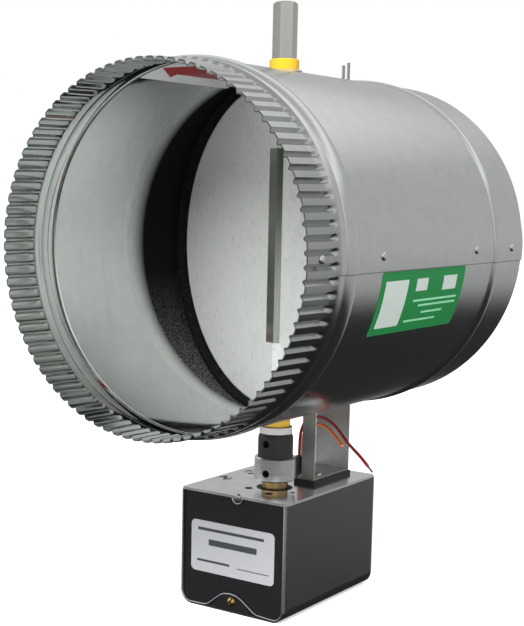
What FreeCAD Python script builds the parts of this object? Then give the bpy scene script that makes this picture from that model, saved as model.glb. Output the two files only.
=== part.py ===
import FreeCAD, Part
import math
import os
import Sketcher
from FreeCAD import Placement, Rotation, Vector

# Motorized round duct damper. Millimetres, +Z up along the damper shaft, +Y along the duct.
# The origin is the centre of the plain rear collar's mouth, and the crimped end points to -Y.

os.makedirs("parts", exist_ok=True)
doc = FreeCAD.newDocument("motorized_damper")

SIZES = {
    # Duct section
    "bore_radius": 101.6,
    "duct_sheet": 0.7,
    "duct_length": 254.0,
    "shaft_to_front": 133.0,
    # Crimped collar
    "crimp_length": 27.0,
    "crimp_fade": 3.5,
    "crimp_count": 90,
    "crimp_depth": 1.8,
    "crimp_end_depth": 0.5,
    "crimp_drop_rim": 2.3,
    "crimp_drop_root": 1.7,
    "crimp_drop_end": 0.3,
    "crest_share": 0.60,
    "groove_share": 0.20,
    # Beads and rear collar
    "band_length": 6.0,
    "front_bead_width": 12.0,
    "front_bead_height": 1.5,
    "rear_collar_length": 35.5,
    "rear_bead_width": 8.0,
    "rear_bead_height": 1.4,
    # Lap seam
    "lap_below": 4.5,
    "lap_above": 4.0,
    "rivet_shank": 1.5,
    "rivet_head": 2.4,
    "rivet_rise": 1.1,
    "rivet_tail": 2.1,
    "crimp_rivet_from_front": 12.5,
    "body_rivet_from_front": 70.5,
    "tail_rivet_from_rear": 68.5,
    "collar_rivet_from_rear": 16.7,
    # Damper shaft and its bushings
    "hex_across": 12.7,
    "shaft_top": 142.5,
    "shaft_bottom": 126.5,
    "shaft_chamfer": 1.2,
    "barrel_radius": 8.0,
    "bushing_radius": 8.7,
    "bushing_height": 6.2,
    "barrel_reach": 1.0,
    "washer_radius": 10.6,
    "washer_thickness": 0.8,
    "run_gap": 0.3,
    "run_fit": 0.05,
    "seat_fit": 0.05,
    # Blade
    "rest_angle": 21.0,
    "disc_radius": 98.8,
    "disc_sheet": 0.8,
    "foam_radius": 100.9,
    "foam_inner": 82.0,
    "foam_thickness": 5.4,
    "foam_lip": 10.5,
    "window_half": 58.0,
    "loop_margin": 0.6,
    "slot_gap": 0.8,
    # Coupling between shaft and motor
    "spacer_radius": 10.1,
    "spacer_height": 4.0,
    "coupler_radius": 10.8,
    "coupler_height": 14.5,
    "coupler_round": 2.5,
    "neck_radius": 8.6,
    "neck_height": 4.4,
    "collar_radius": 12.75,
    "collar_height": 14.6,
    "collar_round": 0.8,
    "set_screw_radius": 2.3,
    "set_screw_length": 4.0,
    "set_screw_sink": 1.5,
    "set_screw_socket": 1.2,
    "output_radius": 4.75,
    "pivot_radius": 2.5,
    "pivot_length": 3.0,
    # Motor housing, placed from the shaft axis
    "housing_top": 147.9,
    "housing_height": 72.8,
    "housing_left": 45.0,
    "housing_right": 30.0,
    "housing_front": 34.6,
    "housing_back": 72.4,
    "housing_wall": 1.2,
    "housing_round": 8.0,
    "plate_thickness": 1.5,
    "plate_overhang": 0.5,
    "plate_corner": 3.0,
    "panel_inset": 0.8,
    "panel_thickness": 1.2,
    "panel_gap": 0.1,
    "hill_width": 30.0,
    "hill_height": 11.0,
    "hill_rise": 0.9,
    "bearing_radius": 8.0,
    "bearing_stem": 6.3,
    # Bracket and pad, placed from the shaft axis
    "bracket_sheet": 1.2,
    "bracket_left": 8.0,
    "bracket_right": 16.0,
    "bracket_back": 62.0,
    "bracket_front": 20.0,
    "leg_width": 9.0,
    "foot_front_width": 12.0,
    "tab_length": 12.0,
    "pad_thickness": 2.6,
    "pad_border": 1.5,
    "foot_screw_x": 10.5,
    "foot_screw_y": 33.0,
    # Gear train
    "gear_level": 152.2,
    "gear_width": 4.0,
    "wheel_level": 158.6,
    "wheel_width": 2.6,
    "gear_module": 0.8,
    "gear_teeth": 56,
    "idler_pinion_teeth": 14,
    "idler_wheel_teeth": 42,
    "rotor_pinion_teeth": 14,
    "wheel_module": 0.6,
    "tooth_backlash": 0.16,
    "idler_bearing": 135.0,
    "rotor_bearing": 90.0,
    "arbor_radius": 1.5,
    "lower_plate_top": 166.0,
    "lower_plate_margin": 4.0,
    "can_radius": 21.0,
    "can_height": 26.0,
    "can_wall": 1.0,
    "rotor_radius": 12.0,
    "coil_inner": 13.0,
    "post_radius": 3.0,
    "post_inset": 9.0,
    # Leads, clip and grommet
    "grommet_x": 17.0,
    "grommet_y": 58.0,
    "grommet_radius": 4.0,
    "grommet_height": 8.0,
    "lead_radius": 1.0,
    "lead_tip_radius": 0.6,
    "lead_tip_length": 6.0,
    "clip_behind": 73.0,
    "clip_height": 11.5,
    "clip_gap": 2.6,
    "clip_sheet": 1.0,
    "clip_depth": 2.4,
    "clip_foot": 7.0,
}

sheet = doc.addObject("Spreadsheet::Sheet", "Sizes")
for row, (name, size) in enumerate(SIZES.items(), start=1):
    sheet.set("A%d" % row, name)
    sheet.set("B%d" % row, str(size))
    sheet.setAlias("B%d" % row, name)
doc.recompute()


def size(name):
    return float(sheet.get(name))


outer_radius = size("bore_radius") + size("duct_sheet")
shaft_y = size("shaft_to_front") - size("duct_length")
rest_angle = -size("rest_angle")
nodes = []

# Expressions that several pieces share, each written from the shaft axis.
OUTER = "Sizes.bore_radius + Sizes.duct_sheet"
HALF_HEX = "Sizes.hex_across / 2"
HEX_CORNER = "Sizes.hex_across / sqrt(3)"
HEX_SIDE = "Sizes.hex_across / (2 * sqrt(3))"
BUSH_SEAT = "(" + OUTER + " + Sizes.washer_thickness + Sizes.run_gap)"
BUSH_END = "(" + BUSH_SEAT + " + Sizes.bushing_height)"
SPACER_END = "(" + BUSH_END + " + Sizes.spacer_height)"
COUPLER_END = "(" + SPACER_END + " + Sizes.coupler_height)"
NECK_END = "(" + COUPLER_END + " + Sizes.neck_height)"
COLLAR_TOP = "(" + COUPLER_END + " + Sizes.seat_fit)"
COLLAR_END = "(" + COLLAR_TOP + " + Sizes.collar_height)"
PLATE_UNDER = "(Sizes.housing_top + Sizes.plate_thickness)"
LOWER_UNDER = "(Sizes.lower_plate_top + Sizes.plate_thickness)"
HALF_FOAM = "Sizes.foam_thickness / 2"
DISC_FACE = "(Sizes.foam_thickness / 2 + Sizes.disc_sheet)"
PAD_TOP = "(Sizes.housing_top - Sizes.pad_thickness)"
FOOT_TOP = "(" + PAD_TOP + " - Sizes.bracket_sheet)"


def minus(expression):
    return "-(" + expression + ")"


def finish(part, moving=False):
    """Place a piece on the shaft axis, turned with the blade where it moves, and list it."""
    part.Placement.Base = Vector(0, 0, 0)
    part.setExpression("Placement.Base.y", "Sizes.shaft_to_front - Sizes.duct_length")
    if moving:
        part.Placement.Rotation = Rotation(Vector(0, 0, 1), rest_angle)
    nodes.append(part)
    return part


def feature(label, shape, moving=False):
    """A piece whose shape comes from Part's own functions, built round the shaft axis."""
    part = doc.addObject("Part::Feature", label)
    part.Label = label
    part.Shape = shape
    turn = Rotation(Vector(0, 0, 1), rest_angle if moving else 0)
    part.Placement = Placement(Vector(0, shaft_y, 0), turn).multiply(shape.Placement)
    nodes.append(part)
    return part


def new_body(label):
    body = doc.addObject("PartDesign::Body", label)
    body.Label = label
    return body


def new_sketch(body, role, offset=None):
    plane = [f for f in body.Origin.OriginFeatures if f.Role == role][0]
    sketch = body.newObject("Sketcher::SketchObject", body.Label + "_sketch")
    sketch.AttachmentSupport = [(plane, "")]
    sketch.MapMode = "FlatFace"
    if offset:
        sketch.setExpression("AttachmentOffset.Base.z", offset)
    return sketch


def fix_point(sketch, geometry, point, across, up):
    """Hold a sketch point at two expressions, measured from the sketch's origin."""
    for kind, expression in (("DistanceX", across), ("DistanceY", up)):
        index = sketch.addConstraint(Sketcher.Constraint(kind, -1, 1, geometry, point, 1.0))
        sketch.setExpression("Constraints[%d]" % index, expression)


def polygon(sketch, corners):
    """A closed outline whose corners are pairs of expressions."""
    count = len(corners)
    start = [Vector(10 * math.cos(2 * math.pi * k / count), 10 * math.sin(2 * math.pi * k / count), 0)
             for k in range(count)]
    lines = [sketch.addGeometry(Part.LineSegment(start[k], start[(k + 1) % count]), False)
             for k in range(count)]
    for k in range(count):
        sketch.addConstraint(Sketcher.Constraint("Coincident", lines[k], 2, lines[(k + 1) % count], 1))
        fix_point(sketch, lines[k], 1, *corners[k])
    return sketch


def circle(sketch, across, up, radius):
    index = sketch.addGeometry(Part.Circle(Vector(1, 1, 0), Vector(0, 0, 1), 1.0), False)
    fix_point(sketch, index, 3, across, up)
    hold = sketch.addConstraint(Sketcher.Constraint("Radius", index, 1.0))
    sketch.setExpression("Constraints[%d]" % hold, radius)
    return sketch


def add_turn(body, corners, cut=False):
    """Revolve an outline of (radius, height) corners round the body's own Z axis."""
    sketch = polygon(new_sketch(body, "XZ_Plane"), corners)
    kind = "PartDesign::Groove" if cut else "PartDesign::Revolution"
    turn = body.newObject(kind, body.Label + "_turn")
    turn.Profile = sketch
    turn.ReferenceAxis = (sketch, ["V_Axis"])
    turn.Angle = 360
    body.Tip = turn
    doc.recompute()
    return turn


def add_pad(body, sketch, length, reverse=False):
    pad = body.newObject("PartDesign::Pad", body.Label + "_pad")
    pad.Profile = sketch
    pad.setExpression("Length", length)
    pad.Reversed = reverse
    body.Tip = pad
    doc.recompute()
    return pad


def add_pocket(body, sketch, length, reverse=False):
    """Cut a sketch away and make sure that it really removes material."""
    before = body.Shape.Volume
    pocket = body.newObject("PartDesign::Pocket", body.Label + "_pocket")
    pocket.Profile = sketch
    pocket.setExpression("Length", length)
    pocket.Reversed = reverse
    body.Tip = pocket
    doc.recompute()
    if body.Shape.Volume > before - 1e-6:
        raise RuntimeError("a pocket in %s cuts nothing" % body.Label)
    return pocket


def add_fillet(body, chosen, radius):
    """Round the edges of the body's tip that the chosen test accepts."""
    tip = body.Tip
    names = ["Edge%d" % (k + 1) for k, edge in enumerate(tip.Shape.Edges) if chosen(edge)]
    fillet = body.newObject("PartDesign::Fillet", body.Label + "_fillet")
    fillet.Base = (tip, names)
    fillet.setExpression("Radius", radius)
    body.Tip = fillet
    doc.recompute()
    return fillet


def hexagon(clearance="0"):
    """Corners of the shaft's hexagon, with its flats square to the blade."""
    half = "(" + HALF_HEX + " + " + clearance + ")"
    side = "(" + half + " / sqrt(3))"
    corner = "(2 * " + half + " / sqrt(3))"
    return [(corner, "0"), (side, half), (minus(side), half),
            (minus(corner), "0"), (minus(side), minus(half)), (side, minus(half))]


def turned(label, corners, moving=False):
    body = new_body(label)
    add_turn(body, corners)
    return finish(body, moving)


def ring(inner, outer, low, high):
    return [(inner, low), (outer, low), (outer, high), (inner, high)]


def duct_profile(offset):
    """Outline of the rolled sheet from the shoulder to the rear mouth, with both beads."""
    shoulder = size("crimp_length") - size("duct_length")
    front = shoulder + size("band_length")
    front_end = front + size("front_bead_width")
    rear_end = -size("rear_collar_length") + size("duct_sheet")
    rear = rear_end - size("rear_bead_width")
    radius = size("bore_radius") + offset

    def point(r, y):
        return Vector(r, y, 0)

    def bead(low, high, height):
        middle = point(radius + height, (low + high) / 2)
        return Part.Arc(point(radius, low), middle, point(radius, high)).toShape()

    return [
        Part.LineSegment(point(radius, shoulder), point(radius, front)).toShape(),
        bead(front, front_end, size("front_bead_height")),
        Part.LineSegment(point(radius, front_end), point(radius, rear)).toShape(),
        bead(rear, rear_end, size("rear_bead_height")),
        Part.LineSegment(point(radius, rear_end), point(radius, 0)).toShape(),
    ]


def rolled(inner, outer, start, sweep):
    """Revolve the sheet between two offsets round the duct's axis, from a start angle in degrees."""
    inside = duct_profile(inner)
    outside = duct_profile(outer)
    ends = [Part.LineSegment(inside[k].Vertexes[k].Point, outside[k].Vertexes[k].Point).toShape()
            for k in (0, -1)]
    face = Part.Face(Part.Wire(Part.__sortEdges__(inside + outside + ends)))
    face.rotate(Vector(0, 0, 0), Vector(0, 1, 0), -start)
    return face.revolve(Vector(0, 0, 0), Vector(0, 1, 0), -sweep)


def crimp_section(y, crest, depth):
    """One closed fluted section: flat crests with narrower grooves between them."""
    count = int(size("crimp_count"))
    pitch = 2 * math.pi / count
    crest_half = size("crest_share") / 2
    groove_half = size("groove_share") / 2
    stations = ((-crest_half, crest), (crest_half, crest),
                (0.5 - groove_half, crest - depth), (0.5 + groove_half, crest - depth))
    points = []
    for k in range(count):
        for share, radius in stations:
            angle = (k + share) * pitch
            points.append(Vector(radius * math.cos(angle), y, radius * math.sin(angle)))
    return Part.makePolygon(points + points[:1])


def crimped_collar():
    """The fluted male end: ruled between the rim, the root of the flutes and their fade-out."""
    rim = -size("duct_length")
    end = rim + size("crimp_length")
    root = end - size("crimp_fade")
    stations = ((rim, "crimp_drop_rim", "crimp_depth"), (root, "crimp_drop_root", "crimp_depth"),
                (end, "crimp_drop_end", "crimp_end_depth"))
    skins = []
    for inset in (0, size("duct_sheet")):
        sections = [crimp_section(y, outer_radius - size(drop) - inset, size(depth))
                    for y, drop, depth in stations]
        skins.append(Part.makeLoft(sections, True, True))
    return skins[0].cut(skins[1])


def bar(radius, start, direction, length):
    return Part.makeCylinder(radius, length, start, direction)


def rivet_places():
    """Height above the bore, distance from the rear mouth and angle of each seam rivet."""
    crimp_face = outer_radius - (size("crimp_drop_rim") + size("crimp_drop_root")) / 2 + 2 * size("seat_fit")
    lap_face = outer_radius + size("duct_sheet")
    length = size("duct_length")
    return [(crimp_face, size("crimp_rivet_from_front") - length),
            (lap_face, size("body_rivet_from_front") - length),
            (lap_face, -size("tail_rivet_from_rear")),
            (lap_face, -size("collar_rivet_from_rear"))]


def rivet(grip, face_radius, y, angle, flush=False):
    """A domed rivet through the duct wall, its head outside, its tail inside or cut flush."""
    head = size("rivet_head")
    rise = size("rivet_rise")
    shank = size("rivet_shank")
    tail = size("rivet_tail")
    end = -grip if flush else -grip - size("seat_fit") - rise
    corners = [Vector(0, 0, rise), Vector(0, 0, end)]
    if flush:
        corners.append(Vector(shank, 0, end))
    else:
        corners += [Vector(tail, 0, end), Vector(tail, 0, end + rise), Vector(shank, 0, end + rise)]
    corners += [Vector(shank, 0, 0), Vector(head, 0, 0)]
    dome = [Vector(head * across, 0, rise * up) for across, up in ((0.92, 0.42), (0.68, 0.78), (0.34, 1.0))]
    face = Part.Face(Part.makePolygon(corners + dome + corners[:1]))
    shape = face.revolve(Vector(0, 0, 0), Vector(0, 0, 1), 360)
    shape.rotate(Vector(0, 0, 0), Vector(0, 1, 0), 90 - angle)
    turn = math.radians(angle)
    shape.translate(Vector(face_radius * math.cos(turn), y, face_radius * math.sin(turn)))
    return shape


def rivet_hole(y, angle, reach):
    turn = math.radians(angle)
    direction = Vector(math.cos(turn), 0, math.sin(turn))
    start = direction * (size("bore_radius") - reach)
    return bar(size("rivet_shank") + size("seat_fit"), Vector(start.x, y, start.z), direction, 3 * reach)


def bracket_rivet_places():
    """Distance from the rear mouth and angle of the rivets that hold the bracket's tabs."""
    tab = size("tab_length")
    rear = shaft_y + size("bracket_back") + size("bracket_sheet") + tab * 0.5
    front = shaft_y + size("bracket_front") + size("bracket_sheet") + tab * 0.5
    leg_middle = size("bracket_right") - size("leg_width") / 2
    places = [(rear, -size("bracket_left") * 0.5), (rear, size("bracket_right") * 0.7), (front, leg_middle)]
    return [(y, -90 + math.degrees(math.asin(x / outer_radius))) for y, x in places]


def duct_shell():
    """One rolled sheet: crimped collar, two beads, lap seam and the holes for shaft and rivets."""
    shell = rolled(0, size("duct_sheet"), 0, 360)
    lap = rolled(size("duct_sheet"), 2 * size("duct_sheet"), -size("lap_below"),
                 size("lap_below") + size("lap_above"))
    end = size("crimp_length") - size("duct_length")
    lip = size("bore_radius") - size("crimp_end_depth") - size("crimp_drop_end")
    shoulder = bar(outer_radius, Vector(0, end, 0), Vector(0, 1, 0), size("duct_sheet"))
    shoulder = shoulder.cut(bar(lip, Vector(0, end, 0), Vector(0, 1, 0), size("duct_sheet")))
    shape = shell.multiFuse([lap, shoulder, crimped_collar()])
    hole = size("barrel_radius") + size("run_fit")
    reach = 2 * outer_radius
    cuts = [bar(hole, Vector(0, shaft_y, -reach), Vector(0, 0, 1), 2 * reach)]
    grip = 4 * size("rivet_rise")
    cuts += [rivet_hole(y, 0, grip) for face_radius, y in rivet_places()]
    cuts += [rivet_hole(y, angle, grip) for y, angle in bracket_rivet_places()]
    shape = shape.cut(cuts)
    part = doc.addObject("Part::Feature", "duct_shell")
    part.Label = "duct_shell"
    part.Shape = shape
    nodes.append(part)
    return part


duct_shell()


def seam_rivets():
    one = size("duct_sheet")
    shapes = []
    for k, (face_radius, y) in enumerate(rivet_places()):
        on_crimp = k == 0
        in_collar = y > -size("rear_collar_length")
        shapes.append(rivet(one if on_crimp else 2 * one, face_radius, y - shaft_y, 0, on_crimp or in_collar))
    return feature("seam_rivets", Part.makeCompound(shapes))


def wire_clip():
    """Small folded clip that stands on the duct behind the shaft."""
    base = "(" + OUTER + " + Sizes.seat_fit)"
    half = "(Sizes.clip_gap / 2 + Sizes.clip_sheet)"
    inner = "(Sizes.clip_gap / 2)"
    step = "(" + base + " + Sizes.clip_sheet)"
    top = "(" + base + " + Sizes.clip_height)"
    short = "(" + top + " - 1.5 * Sizes.clip_sheet)"
    body = new_body("wire_clip")
    sketch = new_sketch(body, "XZ_Plane", minus("Sizes.clip_behind + Sizes.clip_depth / 2"))
    polygon(sketch, [(minus("Sizes.clip_foot"), base), (half, base), (half, top), (inner, top),
                     (inner, step), (minus(inner), step), (minus(inner), short),
                     (minus(half), short), (minus(half), step), (minus("Sizes.clip_foot"), step)])
    add_pad(body, sketch, "Sizes.clip_depth")
    return finish(body)


def damper_shaft():
    """Hexagon bar through the duct, with a turned chamfer on its upper end."""
    body = new_body("damper_shaft")
    sketch = polygon(new_sketch(body, "XY_Plane", minus("Sizes.shaft_bottom")), hexagon())
    add_pad(body, sketch, "Sizes.shaft_bottom + Sizes.shaft_top")
    outside = "(" + HEX_CORNER + " + 1)"
    add_turn(body, [(HALF_HEX + " - Sizes.shaft_chamfer / 2", "Sizes.shaft_top"), (outside, "Sizes.shaft_top"),
                    (outside, "Sizes.shaft_top - Sizes.shaft_chamfer * 1.6")], cut=True)
    return finish(body, moving=True)


def bushing(label, up):
    """A bushing that turns with the shaft: hexagon bore, round barrel in the duct's hole."""
    sign = (lambda e: e) if up else minus
    tip = sign("(Sizes.bore_radius - Sizes.barrel_reach / 2)")
    seat = sign(BUSH_SEAT)
    end = sign(BUSH_END)
    edge = sign("(" + BUSH_END + " - Sizes.barrel_reach / 2)")
    lip = "(Sizes.bushing_radius - Sizes.barrel_reach / 2)"
    body = new_body(label)
    add_turn(body, [("0", tip), ("Sizes.barrel_radius", tip), ("Sizes.barrel_radius", seat),
                    ("Sizes.bushing_radius", seat), ("Sizes.bushing_radius", edge), (lip, end), ("0", end)])
    start = "Sizes.shaft_top" if up else minus("Sizes.bore_radius / 2")
    sketch = polygon(new_sketch(body, "XY_Plane", start), hexagon("Sizes.seat_fit"))
    add_pocket(body, sketch, "Sizes.shaft_top")
    return finish(body, moving=True)


def duct_washer(label, up):
    """Flat washer between the duct and the bushing's collar."""
    sign = (lambda e: e) if up else minus
    low = sign("(" + OUTER + ")")
    high = sign("(" + OUTER + " + Sizes.washer_thickness)")
    return turned(label, ring("Sizes.barrel_radius + Sizes.run_fit", "Sizes.washer_radius", low, high))


def disc(label, front):
    """Pressed blade disc: flat sheet, a slot for the shaft and loops formed over the hexagon."""
    body = new_body(label)
    plane = new_sketch(body, "XZ_Plane", HALF_FOAM if front else minus(HALF_FOAM))
    circle(plane, "0", "0", "Sizes.disc_radius")
    add_pad(body, plane, "Sizes.disc_sheet", reverse=not front)
    slot_half = "(" + HEX_CORNER + " - " + DISC_FACE + " / sqrt(3) + Sizes.slot_gap)"
    high = "(Sizes.disc_radius + 1)"
    slot = new_sketch(body, "XZ_Plane")
    polygon(slot, [(slot_half, high), (minus(slot_half), high), (minus(slot_half), minus(high)),
                   (slot_half, minus(high))])
    add_pocket(body, slot, "Sizes.disc_radius", reverse=front)
    sign = minus if front else (lambda e: "(" + e + ")")
    inner_top = HALF_HEX + " + Sizes.seat_fit"
    outer_top = inner_top + " + Sizes.disc_sheet"
    inner_half = "((" + inner_top + ") / sqrt(3))"
    outer_half = "((" + outer_top + ") / sqrt(3))"
    inner_foot = "((2 * (" + inner_top + ") - " + HALF_FOAM + ") / sqrt(3))"
    outer_foot = "((2 * (" + outer_top + ") - " + HALF_FOAM + ") / sqrt(3))"
    low = sign(HALF_FOAM)
    hat = [(outer_foot, low), (outer_half, sign(outer_top)), (minus(outer_half), sign(outer_top)),
           (minus(outer_foot), low), (minus(inner_foot), low), (minus(inner_half), sign(inner_top)),
           (inner_half, sign(inner_top)), (inner_foot, low)]
    length = "(Sizes.disc_radius - Sizes.loop_margin)"
    if front:
        spans = [("Sizes.window_half", length + " - Sizes.window_half"),
                 (minus(length), length + " - Sizes.window_half")]
    else:
        spans = [(minus(length), "2 * " + length)]
    for start, span in spans:
        loop = polygon(new_sketch(body, "XY_Plane", start), hat)
        add_pad(body, loop, span)
    return finish(body, moving=True)


def foam_gasket():
    """Foam ring between the two discs with a lip round their edge, cut where the shaft crosses it."""
    along = Vector(0, 1, 0)

    def tube(outside, inside, thickness):
        start = Vector(0, -thickness / 2, 0)
        return bar(outside, start, along, thickness).cut(bar(inside, start, along, thickness))

    lip_inside = size("disc_radius") + size("seat_fit")
    web = tube(lip_inside + size("seat_fit"), size("foam_inner"), size("foam_thickness"))
    shape = web.fuse(tube(size("foam_radius"), lip_inside, 2 * size("foam_lip")))
    corner = 2 * (size("hex_across") / 2 + size("seat_fit")) / math.sqrt(3)
    points = [Vector(corner * math.cos(k * math.pi / 3), corner * math.sin(k * math.pi / 3), -outer_radius)
              for k in range(7)]
    prism = Part.Face(Part.makePolygon(points)).extrude(Vector(0, 0, 2 * outer_radius))
    return feature("foam_gasket", shape.cut(prism), moving=True)


def radial_hole(body, height, radius, depth_from):
    """A set-screw hole from the front, square to the blade, into a round coupling piece."""
    sketch = circle(new_sketch(body, "XZ_Plane", depth_from), "0", height, radius)
    add_pocket(body, sketch, "Sizes.collar_radius", reverse=True)
    return body


def coupling():
    """Spacer, coupler and drive collar that join the hexagon shaft to the motor's output."""
    body = new_body("shaft_spacer")
    add_turn(body, ring("0", "Sizes.spacer_radius", minus(BUSH_END), minus(SPACER_END)))
    sketch = polygon(new_sketch(body, "XY_Plane", minus(SPACER_END)), hexagon("Sizes.seat_fit"))
    add_pocket(body, sketch, "2 * Sizes.spacer_height", reverse=True)
    finish(body, moving=True)

    body = new_body("shaft_coupler")
    top = minus(SPACER_END)
    shoulder = minus(COUPLER_END)
    round_top = minus(SPACER_END + " + Sizes.coupler_round")
    add_turn(body, [("0", top), ("Sizes.coupler_radius - Sizes.coupler_round", top),
                    ("Sizes.coupler_radius - Sizes.coupler_round * 0.29",
                     minus(SPACER_END + " + Sizes.coupler_round * 0.29")),
                    ("Sizes.coupler_radius", round_top), ("Sizes.coupler_radius", shoulder),
                    ("Sizes.neck_radius", shoulder), ("Sizes.neck_radius", minus(NECK_END)),
                    ("0", minus(NECK_END))])
    socket = polygon(new_sketch(body, "XY_Plane", minus("Sizes.shaft_bottom + Sizes.seat_fit")),
                     hexagon("Sizes.seat_fit"))
    add_pocket(body, socket, "Sizes.shaft_bottom", reverse=True)
    middle = minus(SPACER_END + " + Sizes.coupler_height * 0.42")
    radial_hole(body, middle, "Sizes.set_screw_radius", HALF_HEX)
    finish(body, moving=True)

    body = new_body("drive_collar")
    floor = minus(NECK_END + " + Sizes.seat_fit")
    edge_top = minus(COLLAR_TOP + " + Sizes.collar_round")
    edge_low = minus(COLLAR_END + " - Sizes.collar_round")
    rim = "(Sizes.collar_radius - Sizes.collar_round)"
    cup = "(Sizes.neck_radius + Sizes.seat_fit)"
    hole = "(Sizes.output_radius + Sizes.seat_fit)"
    add_turn(body, [(cup, minus(COLLAR_TOP)), (rim, minus(COLLAR_TOP)), ("Sizes.collar_radius", edge_top),
                    ("Sizes.collar_radius", edge_low), (rim, minus(COLLAR_END)), (hole, minus(COLLAR_END)),
                    (hole, floor), (cup, floor)])
    radial_hole(body, minus(COLLAR_TOP + " + Sizes.collar_height * 0.64"), "Sizes.set_screw_radius", hole)
    finish(body, moving=True)


def set_screw(label, height, seat, face):
    """Socket set screw that lies below the face of its hole."""
    radius = size("set_screw_radius") - size("seat_fit")
    start = Vector(0, -seat, height)
    length = face - seat - size("set_screw_sink")
    shape = bar(radius, start, Vector(0, -1, 0), length)
    socket = [Vector(size("set_screw_socket") * math.cos(k * math.pi / 3), -seat - length,
                     height + size("set_screw_socket") * math.sin(k * math.pi / 3)) for k in range(7)]
    depth = min(length / 2, size("set_screw_length") / 2)
    shape = shape.cut(Part.Face(Part.makePolygon(socket)).extrude(Vector(0, depth, 0)))
    return feature(label, shape, moving=True)


def levels():
    """Heights along the shaft that the pieces built by Part's functions need."""
    seat = outer_radius + size("washer_thickness") + size("run_gap")
    bush_end = seat + size("bushing_height")
    spacer_end = bush_end + size("spacer_height")
    coupler_end = spacer_end + size("coupler_height")
    collar_top = coupler_end + size("seat_fit")
    return {"spacer_end": spacer_end, "coupler_end": coupler_end, "collar_top": collar_top}


def output_shaft():
    shoulder = "(Sizes.lower_plate_top - Sizes.run_gap)"
    top = minus(NECK_END + " + Sizes.seat_fit")
    end = minus(shoulder + " + Sizes.pivot_length")
    return turned("output_shaft", [("0", top), ("Sizes.output_radius", top),
                                   ("Sizes.output_radius", minus(shoulder)),
                                   ("Sizes.pivot_radius", minus(shoulder)), ("Sizes.pivot_radius", end),
                                   ("0", end)], moving=True)


def output_bearing():
    """Flanged brass bearing in the housing's top plate."""
    hole = "(Sizes.output_radius + Sizes.run_fit)"
    top = minus(COLLAR_END + " + Sizes.run_gap")
    seat = minus("Sizes.housing_top")
    end = minus(PLATE_UNDER + " + 1")
    return turned("output_bearing", [(hole, top), ("Sizes.bearing_radius", top), ("Sizes.bearing_radius", seat),
                                     ("Sizes.bearing_stem", seat), ("Sizes.bearing_stem", end), (hole, end)])


def train_places():
    """Centres of the idler and the rotor from the shaft axis, set by the pitch radii."""
    reach = size("gear_module") * (size("gear_teeth") + size("idler_pinion_teeth")) / 2
    turn = math.radians(size("idler_bearing"))
    idler = Vector(reach * math.cos(turn), reach * math.sin(turn), 0)
    reach = size("wheel_module") * (size("idler_wheel_teeth") + size("rotor_pinion_teeth")) / 2
    turn = math.radians(size("rotor_bearing"))
    return idler, idler + Vector(reach * math.cos(turn), reach * math.sin(turn), 0)


def gear(teeth, module, phase, top, width, bore):
    """Involute spur gear with stub teeth. The phase in degrees is where one tooth is centred."""
    pressure = math.radians(20)
    pitch = module * teeth / 2
    base = pitch * math.cos(pressure)
    tip = pitch + 0.8 * module
    root = pitch - 1.05 * module
    thickness = math.pi * module / 2 - size("tooth_backlash") / 2

    def half_angle(radius):
        angle = math.acos(min(1.0, base / radius))
        at_pitch = thickness / (2 * pitch) + math.tan(pressure) - pressure
        return at_pitch - (math.tan(angle) - angle)

    start = max(base, root)
    radii = [start, (start + tip) / 2, tip]
    flank = [(radius, half_angle(radius)) for radius in radii]
    if root < base:
        flank.insert(0, (root, half_angle(base)))
    points = []
    for k in range(int(teeth)):
        centre = math.radians(phase) + 2 * math.pi * k / teeth
        tooth = [(radius, centre - half) for radius, half in flank]
        tooth += [(radius, centre + half) for radius, half in reversed(flank)]
        points += [Vector(radius * math.cos(a), radius * math.sin(a), -top - width) for radius, a in tooth]
    blank = Part.Face(Part.makePolygon(points + points[:1])).extrude(Vector(0, 0, width))
    return blank.cut(bar(bore, Vector(0, 0, -top - width), Vector(0, 0, 1), width))


def gear_train():
    """Output gear, compound idler and rotor pinion, in mesh along their lines of centres."""
    idler, rotor = train_places()
    fit = size("seat_fit")
    line = size("idler_bearing")
    teeth = size("idler_pinion_teeth")
    output = gear(size("gear_teeth"), size("gear_module"), line - rest_angle, size("gear_level"),
                  size("gear_width"), size("output_radius") + fit)
    feature("output_gear", output, moving=True)
    pinion = gear(teeth, size("gear_module"), line + 180 + 180 / teeth, size("gear_level") - size("run_gap"),
                  size("gear_width") + 2 * size("run_gap"), size("arbor_radius"))
    wheel = gear(size("idler_wheel_teeth"), size("wheel_module"), size("rotor_bearing"), size("wheel_level"),
                 size("wheel_width"), size("arbor_radius"))
    low = size("gear_level") + size("gear_width") + size("run_gap")
    hub = bar(size("gear_module") * teeth / 2 - size("gear_module") * 1.05, Vector(0, 0, -size("wheel_level")),
              Vector(0, 0, 1), size("wheel_level") - low)
    arbor_end = size("lower_plate_top") + size("plate_thickness")
    arbor = bar(size("arbor_radius"), Vector(0, 0, -arbor_end), Vector(0, 0, 1),
                arbor_end - size("housing_top"))
    shape = pinion.multiFuse([wheel, hub, arbor])
    shape.translate(idler)
    feature("idler_gear", shape)
    teeth = size("rotor_pinion_teeth")
    pinion = gear(teeth, size("wheel_module"), size("rotor_bearing") + 180 + 180 / teeth,
                  size("wheel_level") - size("run_gap"), size("wheel_width") + 2 * size("run_gap"),
                  size("arbor_radius") + fit)
    pinion.translate(rotor)
    feature("rotor_pinion", pinion)


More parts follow.
